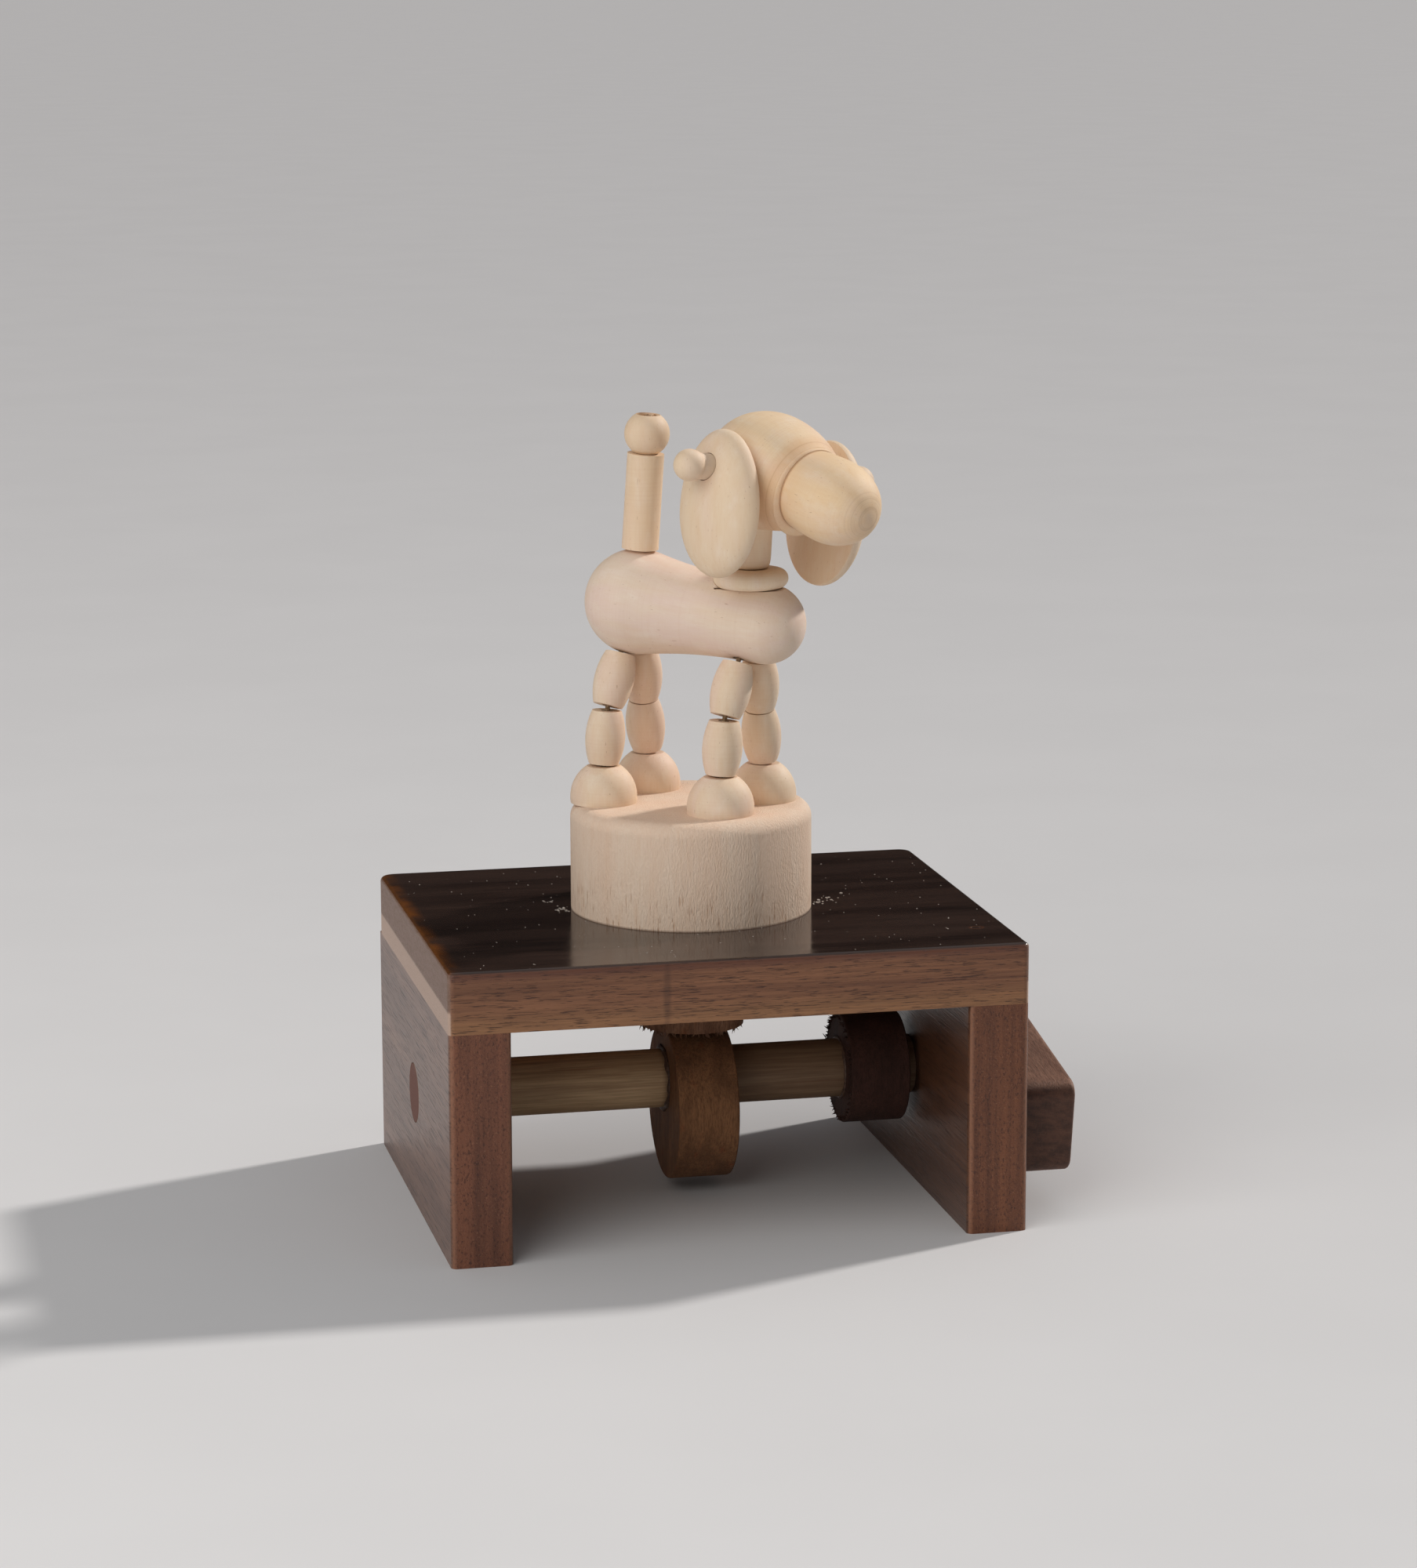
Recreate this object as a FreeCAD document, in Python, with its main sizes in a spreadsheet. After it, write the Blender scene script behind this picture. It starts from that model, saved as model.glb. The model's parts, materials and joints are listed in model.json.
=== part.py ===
import FreeCAD, Part
import math
import os
import re
import Sketcher

# A push-up wooden dog on a drum, stood on a small table whose crank turns a cam.
# The cam lifts a plug through the table top, the plug lifts the button inside the drum,
# and the strings that hold the dog's beads upright go slack.
# X runs along the crank shaft, Y away from the front, Z up from the floor.
# The origin is under the middle of the whole toy, at the height of the floor.

SIZES = [
    # Table
    ("table_width", 94.5),
    ("table_depth", 75.0),
    ("board_thickness", 10.0),
    ("leg_thickness", 10.0),
    ("leg_height", 38.0),
    ("edge_round", 0.8),
    ("front_corner_round", 1.0),
    ("back_corner_round", 2.5),
    # Shaft, cam, collar and crank arm
    ("shaft_diameter", 9.8),
    ("shaft_height", 19.0),
    ("shaft_clearance", 0.1),
    ("glue_line", 0.05),
    ("cam_diameter", 26.0),
    ("cam_thickness", 10.2),
    ("cam_offset", 4.0),
    ("collar_diameter", 18.6),
    ("collar_thickness", 10.1),
    ("collar_leg_gap", 2.0),
    ("disc_edge_round", 0.35),
    ("arm_reach", 29.4),
    ("arm_height", 16.2),
    ("arm_thickness", 10.0),
    ("arm_gap", 0.4),
    ("arm_droop", 9.8),
    ("arm_corner_round", 2.6),
    ("arm_edge_round", 0.8),
    # Pusher plug and the drum with its button
    ("plug_diameter", 17.4),
    ("plug_clearance", 0.1),
    ("cam_plug_gap", 0.05),
    ("drum_diameter", 40.0),
    ("drum_height", 17.7),
    ("drum_ceiling", 3.2),
    ("drum_edge_round", 2.3),
    ("drum_back", 1.4),
    ("button_diameter", 32.0),
    ("button_thickness", 2.5),
    ("button_clearance", 0.4),
    ("button_rest_gap", 0.2),
    ("knot_diameter", 1.9),
    ("spring_diameter", 14.0),
    ("spring_wire", 0.7),
    ("spring_turns", 3.0),
    ("spring_seat_gap", 0.05),
    # Strings
    ("string_diameter", 0.8),
    ("string_hole", 2.0),
    ("knot_hole_play", 0.5),
    ("knot_proud", 0.1),
    ("string_joint_diameter", 1.28),
    # Stance of the dog
    ("dog_yaw", -39.5),
    ("dog_right", -1.0),
    ("dog_back", 2.5),
    ("foot_wheelbase", 21.7),
    ("foot_track", 13.8),
    ("foot_stagger", 0.9),
    ("near_lower_splay", 0.6),
    ("near_upper_splay", 3.0),
    ("far_lower_splay", 2.0),
    ("far_upper_splay", 2.0),
    ("lower_advance", 0.4),
    ("upper_advance", 0.8),
    # Feet and leg beads
    ("foot_diameter", 11.1),
    ("foot_dome", 6.0),
    ("foot_widest", 0.9),
    ("foot_height", 6.1),
    ("bead_length", 8.9),
    ("bead_diameter", 6.6),
    ("bead_end_diameter", 4.9),
    ("bead_gap", 0.12),
    # Torso
    ("torso_rear_radius", 8.8),
    ("torso_front_radius", 6.65),
    ("torso_waist_radius", 6.6),
    ("torso_hollow_radius", 88.0),
    ("torso_span", 23.7),
    ("torso_rear_rise", 8.39),
    ("torso_rear_behind", 8.4),
    ("torso_pitch", 5.0),
    ("neck_seat_rise", 5.48),
    ("neck_ahead", 12.5),
    ("torso_bore", 3.2),
    # Neck and head
    ("ring_diameter", 12.3),
    ("ring_thickness", 3.1),
    ("neck_bottom_diameter", 6.2),
    ("neck_top_diameter", 7.4),
    ("neck_length", 7.5),
    ("seat_gap", 0.1),
    ("head_turn", -20.2),
    ("head_pitch", 14.7),
    ("cranium_radius", 9.8),
    ("cranium_back_length", 11.5),
    ("cranium_front_length", 14.0),
    ("cranium_cut", 8.9),
    ("cranium_ahead", 4.6),
    ("cranium_rise", 8.35),
    ("muzzle_radius", 6.93),
    ("muzzle_back_length", 17.0),
    ("muzzle_nose_length", 8.6),
    ("muzzle_widest", 5.9),
    ("muzzle_rise", 0.6),
    # Ears and their pegs
    ("ear_roll", 9.0),
    ("ear_half_width", 8.35),
    ("ear_upper_length", 13.0),
    ("ear_lower_length", 10.85),
    ("ear_dome", 4.3),
    ("ear_back", 0.7),
    ("ear_hang", 6.7),
    ("near_ear_swing", 6.5),
    ("far_ear_swing", 2.0),
    ("near_ear_gap", 0.3),
    ("far_ear_gap", 2.7),
    ("ear_hole_clearance", 0.1),
    ("peg_diameter", 4.3),
    ("peg_ball_diameter", 5.2),
    ("peg_neck_length", 0.2),
    ("near_peg_depth", 5.0),
    ("far_peg_depth", 2.6),
    # Tail
    ("tail_behind", 7.9),
    ("tail_diameter", 6.1),
    ("tail_length", 15.85),
    ("tail_lean", 4.2),
    ("tail_ball_diameter", 7.5),
    ("tail_hole", 4.0),
]

doc = FreeCAD.newDocument("crank_dog")
sheet = doc.addObject("Spreadsheet::Sheet", "Sizes")
for row, (alias, value) in enumerate(SIZES, start=1):
    sheet.set(f"A{row}", alias)
    sheet.set(f"B{row}", str(value))
    sheet.setAlias(f"B{row}", alias)
doc.recompute()
ALIASES = {alias for alias, value in SIZES}


def size(alias):
    return float(sheet.get(alias))


def formula(text):
    """Write a formula of plain size names as one that reads the sheet."""
    return re.sub(r"[a-z_]+", lambda m: f"Sizes.{m.group()}" if m.group() in ALIASES else m.group(), text)


def tie(obj, **formulas):
    for name, text in formulas.items():
        obj.setExpression(name, formula(text))
    return obj


def value_of(text):
    found = sheet.evalExpression(formula(text))
    return float(getattr(found, "Value", found))


def turn(axis, degrees):
    return FreeCAD.Rotation(axis, degrees)


def place(x, y, z, rotation=FreeCAD.Rotation()):
    return FreeCAD.Placement(FreeCAD.Vector(x, y, z), rotation)


X_AXIS = FreeCAD.Vector(1, 0, 0)
Y_AXIS = FreeCAD.Vector(0, 1, 0)
Z_AXIS = FreeCAD.Vector(0, 0, 1)

# Places that several pieces share
arm_overhang = size("arm_gap") + size("arm_thickness")
table_x = -arm_overhang / 2
table_end = size("table_width") / 2
board_bottom = size("leg_height")
board_top = board_bottom + size("board_thickness")
drum_top = board_top + size("drum_height")
drum_place = place(table_x, size("drum_back"), board_top)
ceiling_z = drum_top - size("drum_ceiling")
button_z = board_top + size("button_rest_gap")
button_top = button_z + size("button_thickness")
plug_z = size("shaft_height") - size("cam_offset") + size("cam_diameter") / 2 + size("cam_plug_gap")
along_shaft = turn(Y_AXIS, 90)

# The dog has its own frame: X forward, Y to its left, Z up, above the middle of its feet
dog = place(table_x + size("dog_right"), size("dog_back"), 0, turn(Z_AXIS, size("dog_yaw")))
head = dog * place(size("neck_ahead"), 0, 0, turn(Z_AXIS, size("head_turn")))


# Ways of making a piece


def outline_sketch(body, name, plane, corners):
    """Draw a closed outline, counterclockwise, whose corners are formulas.

    A corner with a third value starts an arc of that radius, outward when positive
    and hollow when its formula starts with a minus sign.
    """
    sketch = body.newObject("Sketcher::SketchObject", name)
    sketch.AttachmentSupport = [(next(o for o in body.Origin.OriginFeatures if o.Role == plane), "")]
    sketch.MapMode = "FlatFace"
    points = [FreeCAD.Vector(value_of(c[0]), value_of(c[1]), 0) for c in corners]
    ends = []
    for i, corner in enumerate(corners):
        a = points[i]
        b = points[(i + 1) % len(points)]
        if len(corner) == 2:
            edge = sketch.addGeometry(Part.LineSegment(a, b), False)
            ends.append((edge, 1, 2))
            continue
        hollow = corner[2].startswith("-")
        radius = value_of(corner[2].lstrip("-"))
        chord = b - a
        rise = radius - math.sqrt(max(radius**2 - chord.Length**2 / 4, 0))
        outward = FreeCAD.Vector(chord.y, -chord.x, 0).normalize()
        middle = (a + b) / 2 + outward * (-rise if hollow else rise)
        edge = sketch.addGeometry(Part.Arc(a, middle, b), False)
        ends.append((edge, 2, 1) if hollow else (edge, 1, 2))
    for i, corner in enumerate(corners):
        edge, start, end = ends[i]
        following = ends[(i + 1) % len(ends)]
        sketch.addConstraint(Sketcher.Constraint("Coincident", edge, end, following[0], following[1]))
        for kind, text, axis in (("DistanceX", corner[0], -2), ("DistanceY", corner[1], -1)):
            if text == "0":
                sketch.addConstraint(Sketcher.Constraint("PointOnObject", edge, start, axis))
            else:
                n = sketch.addConstraint(Sketcher.Constraint(kind, -1, 1, edge, start, value_of(text)))
                sketch.setExpression(f"Constraints[{n}]", formula(text))
        if len(corner) == 3:
            text = corner[2].lstrip("-")
            n = sketch.addConstraint(Sketcher.Constraint("Radius", edge, value_of(text)))
            sketch.setExpression(f"Constraints[{n}]", formula(text))
    return sketch


def turned(name, corners):
    """Turn an outline of (radius, height) corners about the piece's own Z axis."""
    body = doc.addObject("PartDesign::Body", name + "_turned")
    sketch = outline_sketch(body, name + "_outline", "XZ_Plane", corners)
    solid = body.newObject("PartDesign::Revolution", name + "_revolution")
    solid.Profile = sketch
    solid.ReferenceAxis = (sketch, ["V_Axis"])
    solid.Angle = 360
    sketch.Visibility = False
    doc.recompute()
    return body


def sawn(name, corners, thickness):
    """Saw an outline out of a board of the given thickness."""
    body = doc.addObject("PartDesign::Body", name + "_sawn")
    sketch = outline_sketch(body, name + "_outline", "XY_Plane", corners)
    pad = body.newObject("PartDesign::Pad", name + "_pad")
    pad.Profile = sketch
    tie(pad, Length=thickness)
    sketch.Visibility = False
    doc.recompute()
    return body


def eased(body, name, radius, wanted):
    """Round the edges of a body's tip that the test picks."""
    tip = body.Tip
    edges = [f"Edge{i}" for i, edge in enumerate(tip.Shape.Edges, start=1) if wanted(edge)]
    fillet = body.newObject("PartDesign::Fillet", name)
    fillet.Base = (tip, edges)
    tie(fillet, Radius=radius)
    doc.recompute()
    return body


def rod(name, diameter, length, placement=None):
    cylinder = doc.addObject("Part::Cylinder", name)
    tie(cylinder, Radius=f"({diameter}) / 2", Height=length)
    if placement:
        cylinder.Placement = placement
    return cylinder


def drilled(name, piece, holes):
    """Cut holes, each a (diameter, length, placement) in the piece's own frame."""
    drills = [rod(f"{name}_drill_{i}", *hole) for i, hole in enumerate(holes, start=1)]
    return cut_by(name, piece, drills)


def cut_by(name, piece, tools):
    """Cut the tools out of the piece one after another."""
    for tool in tools:
        cut = doc.addObject("Part::Cut", name + "_cut")
        cut.Base = piece
        cut.Tool = tool
        piece = cut
    doc.recompute()
    return piece


def fused(name, pieces):
    fuse = doc.addObject("Part::MultiFuse", name + "_fuse")
    fuse.Shapes = pieces
    doc.recompute()
    return fuse


nodes = []


def finish(label, piece, placement=FreeCAD.Placement()):
    piece.Label = label
    piece.Placement = placement
    nodes.append(piece)
    return piece


def is_upright(edge):
    return abs(edge.tangentAt(edge.FirstParameter).z) > 0.99


# Table: a board on two upright legs, glued face to face

board = sawn(
    "table_top",
    [
        ("0", "0"),
        ("table_width", "0"),
        ("table_width", "table_depth"),
        ("0", "table_depth"),
    ],
    "board_thickness",
)
eased(
    board,
    "table_front_corners",
    "front_corner_round",
    lambda e: is_upright(e) and e.BoundBox.YMax < size("table_depth") / 2,
)
eased(
    board,
    "table_back_corners",
    "back_corner_round",
    lambda e: is_upright(e) and e.BoundBox.YMin > size("table_depth") - 1.01 * size("back_corner_round"),
)
eased(board, "table_rim", "edge_round", lambda e: e.BoundBox.ZMin > size("board_thickness") * 0.99)
plug_hole = "plug_diameter + 2 * plug_clearance"
plug_axis = place(table_end, size("table_depth") / 2 + size("drum_back"), 0)
table_corner = place(table_x - table_end, -size("table_depth") / 2, board_bottom)
finish("table_top", drilled("table_top", board, [(plug_hole, "board_thickness", plug_axis)]), table_corner)

shaft_bore = "shaft_diameter + 2 * shaft_clearance"
for side, outer_x in (("left", -table_end), ("right", table_end - size("leg_thickness"))):
    leg = sawn(
        side + "_leg",
        [
            ("0", "0"),
            ("leg_thickness", "0"),
            ("leg_thickness", "table_depth"),
            ("0", "table_depth"),
        ],
        "leg_height",
    )
    eased(leg, side + "_leg_corners", "front_corner_round", is_upright)
    bore_at = place(0, size("table_depth") / 2, size("shaft_height"), along_shaft)
    leg = drilled(side + "_leg", leg, [(shaft_bore, "leg_thickness", bore_at)])
    finish(side + "_leg", leg, place(table_x + outer_x, -size("table_depth") / 2, 0))

# Crank: a dowel through both legs with the cam, the collar and the arm glued to it

shaft_at = place(table_x - table_end, 0, size("shaft_height"), along_shaft)
shaft = rod("crank_shaft", "shaft_diameter", "table_width + arm_gap + arm_thickness")
finish("crank_shaft", shaft, shaft_at)

glued_bore = "shaft_diameter + 2 * glue_line"


def disc(name, diameter, thickness, x, offset):
    """A plain wooden disc on the shaft, its centre the offset below the shaft's axis."""
    half = f"({diameter}) / 2"
    wheel = turned(
        name,
        [
            ("0", "0"),
            (f"{half} - disc_edge_round", "0", "disc_edge_round"),
            (half, "disc_edge_round"),
            (half, f"{thickness} - disc_edge_round", "disc_edge_round"),
            (f"{half} - disc_edge_round", thickness),
            ("0", thickness),
        ],
    )
    wheel = drilled(name, wheel, [(glued_bore, thickness, place(-offset, 0, 0))])
    finish(name, wheel, place(x, 0, size("shaft_height") - offset, along_shaft))


disc("cam", "cam_diameter", "cam_thickness", table_x - size("cam_thickness") / 2, size("cam_offset"))
collar_x = table_x + table_end - size("leg_thickness") - size("collar_leg_gap") - size("collar_thickness")
disc("collar", "collar_diameter", "collar_thickness", collar_x, 0)

arm_length = "arm_reach + arm_height / 2"
arm = sawn(
    "crank_arm",
    [
        ("arm_height / 2", "0"),
        (f"{arm_length} - arm_corner_round", "0", "arm_corner_round"),
        (arm_length, "arm_corner_round"),
        (arm_length, "arm_height - arm_corner_round", "arm_corner_round"),
        (f"{arm_length} - arm_corner_round", "arm_height"),
        ("arm_height / 2", "arm_height", "arm_height / 2"),
        ("0", "arm_height / 2", "arm_height / 2"),
    ],
    "arm_thickness",
)
eased(
    arm,
    "crank_arm_rim",
    "arm_edge_round",
    lambda e: e.BoundBox.ZMin > size("arm_thickness") * 0.99 or e.BoundBox.ZMax < size("arm_thickness") * 0.01,
)
half_arm = size("arm_height") / 2
arm = drilled("crank_arm", arm, [(glued_bore, "arm_thickness", place(half_arm, half_arm, 0))])
droop = math.radians(size("arm_droop"))
reach_way = FreeCAD.Vector(0, -math.cos(droop), -math.sin(droop))
arm_turn = FreeCAD.Rotation(reach_way, X_AXIS.cross(reach_way), X_AXIS, "XYZ")
arm_pivot = FreeCAD.Vector(table_x + table_end + size("arm_gap"), 0, size("shaft_height"))
arm_corner = arm_pivot - arm_turn.multVec(FreeCAD.Vector(half_arm, half_arm, 0))
finish("crank_arm", arm, FreeCAD.Placement(arm_corner, arm_turn))

# Pusher: a plug on the cam, under the button that the four leg strings are knotted to

LEGS = [(end, side) for end in ("rear", "front") for side in ("near", "far")]


def foot_spot(end, side):
    """Where a foot stands, in the dog's frame."""
    forward = size("foot_wheelbase") / 2 * (1 if end == "front" else -1)
    stagger = size("foot_stagger") / 2 * (1 if side == "far" else -1)
    across = size("foot_track") / 2 * (1 if side == "far" else -1)
    return FreeCAD.Vector(forward + stagger, across, 0)


def on_drum(end, side):
    """Where a foot stands, measured from the drum's own axis."""
    spot = dog.multVec(foot_spot(end, side)) - drum_place.Base
    return FreeCAD.Vector(spot.x, spot.y, 0)


def on_button(end, side):
    """Where a leg's string is knotted, in from the button's rim."""
    spot = on_drum(end, side)
    most = size("button_diameter") / 2 - size("knot_diameter") - size("knot_hole_play")
    return spot * min(1, most / spot.Length)


cam_top = "shaft_height - cam_offset + cam_diameter / 2"
plug_length = f"leg_height + board_thickness + button_rest_gap - ({cam_top} + cam_plug_gap)"
plug = rod("pusher_plug", "plug_diameter", plug_length)
finish("pusher_plug", plug, place(table_x, size("drum_back"), plug_z))

button = rod("push_button_blank", "button_diameter", "button_thickness")
knot_hole = "knot_diameter + knot_hole_play"
knot_depth = "knot_diameter - knot_proud"
knots = []
holes = []
for end, side in LEGS:
    spot = on_button(end, side)
    holes.append(("string_hole", "button_thickness", place(spot.x, spot.y, 0)))
    holes.append((knot_hole, knot_depth, place(spot.x, spot.y, 0)))
    knot = doc.addObject("Part::Sphere", f"knot_{end}_{side}")
    tie(knot, Radius="knot_diameter / 2")
    knot.Placement = place(spot.x, spot.y, size("knot_diameter") / 2 - size("knot_proud"))
    knots.append(knot)
button_place = place(table_x, size("drum_back"), button_z)
finish("push_button", drilled("push_button", button, holes), button_place)
finish("string_knots", fused("string_knots", knots), button_place)

# Drum: a cup turned in one piece, open below, with a string hole under each foot

drum = turned(
    "drum",
    [
        ("button_diameter / 2 + button_clearance", "0"),
        ("drum_diameter / 2", "0"),
        ("drum_diameter / 2", "drum_height - drum_edge_round", "drum_edge_round"),
        ("drum_diameter / 2 - drum_edge_round", "drum_height"),
        ("0", "drum_height"),
        ("0", "drum_height - drum_ceiling"),
        ("button_diameter / 2 + button_clearance", "drum_height - drum_ceiling"),
    ],
)
holes = []
for end, side in LEGS:
    spot = on_drum(end, side)
    holes.append(("string_hole", "drum_height", place(spot.x, spot.y, 0)))
finish("drum", drilled("drum", drum, holes), drum_place)


def strand(name, start, finish_at):
    """One straight length of string between two points."""
    way = finish_at - start
    piece = doc.addObject("Part::Cylinder", name)
    tie(piece, Radius="string_diameter / 2")
    piece.Height = way.Length
    piece.Placement = FreeCAD.Placement(start, FreeCAD.Rotation(Z_AXIS, way))
    return piece


strands = []
for end, side in LEGS:
    low = on_button(end, side) + FreeCAD.Vector(table_x, size("drum_back"), button_top)
    high = on_drum(end, side) + FreeCAD.Vector(table_x, size("drum_back"), ceiling_z)
    strands.append(strand(f"drum_strand_{end}_{side}", low, high))
finish("drum_strings", fused("drum_strings", strands))


def spring_wire(radius, wire, height, turns):
    """Sweep the wire along quarter turns that climb at a steady rate."""
    quarters = int(round(turns * 4))

    def point(part):
        angle = 2 * math.pi * turns * part
        climb = wire / 2 + (height - wire) * part
        return FreeCAD.Vector(radius * math.cos(angle), radius * math.sin(angle), climb)

    arcs = []
    for i in range(quarters):
        stops = [point((i + step) / quarters) for step in (0, 0.5, 1)]
        arcs.append(Part.Arc(*stops).toShape())
    path = Part.Wire(arcs)
    start = arcs[0].tangentAt(arcs[0].FirstParameter)
    section = Part.Wire(Part.Circle(point(0), start, wire / 2).toShape())
    coil = path.makePipeShell([section], True, False)
    print("spring: least gap between turns", round((height - wire) / turns - wire, 2), "mm")
    return coil


spring = doc.addObject("Part::Feature", "return_spring")
seat_gap = size("spring_seat_gap")
spring.Shape = spring_wire(
    (size("spring_diameter") - size("spring_wire")) / 2,
    size("spring_wire"),
    ceiling_z - button_top - 2 * seat_gap,
    size("spring_turns"),
)
finish("return_spring", spring, place(table_x, size("drum_back"), button_top + seat_gap))

# Feet: domes glued to the drum, each with a string hole right through

foot_top = drum_top + size("foot_height")
foot_strings = []
for end, side in LEGS:
    spot = foot_spot(end, side)
    name = f"{end}_{side}_foot"
    dome = doc.addObject("Part::Ellipsoid", name + "_dome")
    tie(
        dome,
        Radius1="foot_dome",
        Radius2="foot_diameter / 2",
        Radius3="foot_diameter / 2",
        Angle1="-asin(foot_widest / foot_dome)",
        Angle2="asin((foot_height - foot_widest) / foot_dome)",
    )
    doc.recompute()
    hole_at = place(0, 0, -size("foot_widest"))
    foot = drilled(name, dome, [("string_hole", "foot_height", hole_at)])
    finish(name, foot, dog * place(spot.x, spot.y, drum_top + size("foot_widest")))
    low = dog.multVec(spot + FreeCAD.Vector(0, 0, ceiling_z))
    high = dog.multVec(spot + FreeCAD.Vector(0, 0, foot_top))
    foot_strings.append(strand(f"foot_strand_{end}_{side}", low, high))
finish("foot_strings", fused("foot_strings", foot_strings))

# Legs: two barrel beads each, held only by the string through them


def bead_way(advance, splay, side):
    """The way a bead points, in the dog's frame, leaning in towards the middle."""
    inward = -splay if side == "far" else splay
    rise = math.sqrt(size("bead_length") ** 2 - advance**2 - splay**2)
    return FreeCAD.Vector(advance, inward, rise) / size("bead_length")


def centre_gap(below, above):
    """How far apart two bead ends are at their middles when their rims nearly touch."""
    return size("bead_gap") + size("bead_end_diameter") / 2 * math.sin(below.getAngle(above))


def leg_stack(end, side):
    """The base and way of the lower and upper bead, in the dog's frame."""
    lower = bead_way(size("lower_advance"), size(side + "_lower_splay"), side)
    upper = bead_way(size("upper_advance"), size(side + "_upper_splay"), side)
    ankle = foot_spot(end, side) + Z_AXIS * (foot_top + centre_gap(Z_AXIS, lower))
    knee_below = ankle + lower * size("bead_length")
    between = (lower + upper).normalize()
    knee = knee_below + between * centre_gap(lower, upper)
    return {"lower": (ankle, lower), "upper": (knee, upper)}


def barrel(name):
    half_rise = "(bead_diameter - bead_end_diameter) / 2"
    return turned(
        name,
        [
            ("string_hole / 2", "0"),
            ("bead_end_diameter / 2", "0", f"((bead_length / 2)^2 + ({half_rise})^2) / (2 * {half_rise})"),
            ("bead_end_diameter / 2", "bead_length"),
            ("string_hole / 2", "bead_length"),
        ],
    )


for end, side in LEGS:
    for level, (base, way) in leg_stack(end, side).items():
        name = f"{end}_{side}_{level}_leg"
        spot = dog * FreeCAD.Placement(base, FreeCAD.Rotation(Z_AXIS, way))
        finish(name, barrel(name), spot)
        finish(name + "_string", rod(name + "_strand", "string_diameter", "bead_length"), spot)

# Torso: a peanut turned along the dog's length, drilled for the leg, neck and tail strings

rear_cap = size("torso_rear_radius")
front_cap = size("torso_front_radius")
span = size("torso_span")
hollow = size("torso_hollow_radius")
waist_reach = size("torso_waist_radius") + hollow
waist_at = math.sqrt((rear_cap + hollow) ** 2 - waist_reach**2)

torso_body = doc.addObject("PartDesign::Body", "torso_turned")
torso_sketch = torso_body.newObject("Sketcher::SketchObject", "torso_outline")
torso_plane = next(o for o in torso_body.Origin.OriginFeatures if o.Role == "XZ_Plane")
torso_sketch.AttachmentSupport = [(torso_plane, "")]
torso_sketch.MapMode = "FlatFace"


def on_outline(radius, height):
    return FreeCAD.Vector(radius, height, 0)


def towards(centre, other, distance):
    return centre + (other - centre).normalize() * distance


rear_centre = on_outline(0, rear_cap)
front_centre = on_outline(0, rear_cap + span)
hollow_centre = on_outline(waist_reach, rear_cap + waist_at)
rear_touch = towards(rear_centre, hollow_centre, rear_cap)
front_touch = towards(front_centre, hollow_centre, front_cap)
rear_pole = on_outline(0, 0)
front_pole = on_outline(0, rear_cap + span + front_cap)
rear_mid = towards(rear_centre, on_outline(rear_cap, 0), rear_cap)
front_mid = towards(front_centre, on_outline(front_cap, front_pole.y), front_cap)
hollow_mid = on_outline(size("torso_waist_radius"), rear_cap + waist_at)
if not rear_touch.y < hollow_mid.y < front_touch.y:
    hollow_mid = towards(hollow_centre, (rear_touch + front_touch) / 2, hollow)
backbone = torso_sketch.addGeometry(Part.LineSegment(front_pole, rear_pole), False)
rear_arc = torso_sketch.addGeometry(Part.Arc(rear_pole, rear_mid, rear_touch), False)
hollow_arc = torso_sketch.addGeometry(Part.Arc(rear_touch, hollow_mid, front_touch), False)
front_arc = torso_sketch.addGeometry(Part.Arc(front_touch, front_mid, front_pole), False)
torso_sketch.addConstraint(Sketcher.Constraint("Coincident", backbone, 2, rear_arc, 1))
torso_sketch.addConstraint(Sketcher.Constraint("Coincident", front_arc, 2, backbone, 1))
torso_sketch.addConstraint(Sketcher.Constraint("Coincident", backbone, 2, -1, 1))
torso_sketch.addConstraint(Sketcher.Constraint("PointOnObject", backbone, 1, -2))
torso_sketch.addConstraint(Sketcher.Constraint("PointOnObject", rear_arc, 3, -2))
torso_sketch.addConstraint(Sketcher.Constraint("PointOnObject", front_arc, 3, -2))
torso_sketch.addConstraint(Sketcher.Constraint("Tangent", rear_arc, 2, hollow_arc, 2))
torso_sketch.addConstraint(Sketcher.Constraint("Tangent", hollow_arc, 1, front_arc, 1))
for arc, text in (
    (rear_arc, "torso_rear_radius"),
    (front_arc, "torso_front_radius"),
    (hollow_arc, "torso_hollow_radius"),
):
    n = torso_sketch.addConstraint(Sketcher.Constraint("Radius", arc, size(text)))
    torso_sketch.setExpression(f"Constraints[{n}]", formula(text))
n = torso_sketch.addConstraint(Sketcher.Constraint("DistanceY", rear_arc, 3, front_arc, 3, span))
torso_sketch.setExpression(f"Constraints[{n}]", formula("torso_span"))
torso_solid = torso_body.newObject("PartDesign::Revolution", "torso_revolution")
torso_solid.Profile = torso_sketch
torso_solid.ReferenceAxis = (torso_sketch, ["V_Axis"])
torso_solid.Angle = 360
doc.recompute()

# The torso's frame lies in the dog's: its Z axis is the backbone, from rump to chest
backbone_turn = turn(Y_AXIS, 90 + size("torso_pitch"))
backbone_way = backbone_turn.multVec(Z_AXIS)
hip_base, hip_way = leg_stack("rear", "near")["upper"]
rear_height = (hip_base + hip_way * size("bead_length")).z + size("torso_rear_rise")
rump = FreeCAD.Vector(-size("torso_rear_behind"), 0, rear_height) - backbone_way * rear_cap
torso_in_dog = FreeCAD.Placement(rump, backbone_turn)


def backbone_height(forward):
    along = (forward - rump.x) / backbone_way.x
    return (rump + backbone_way * along).z


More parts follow.
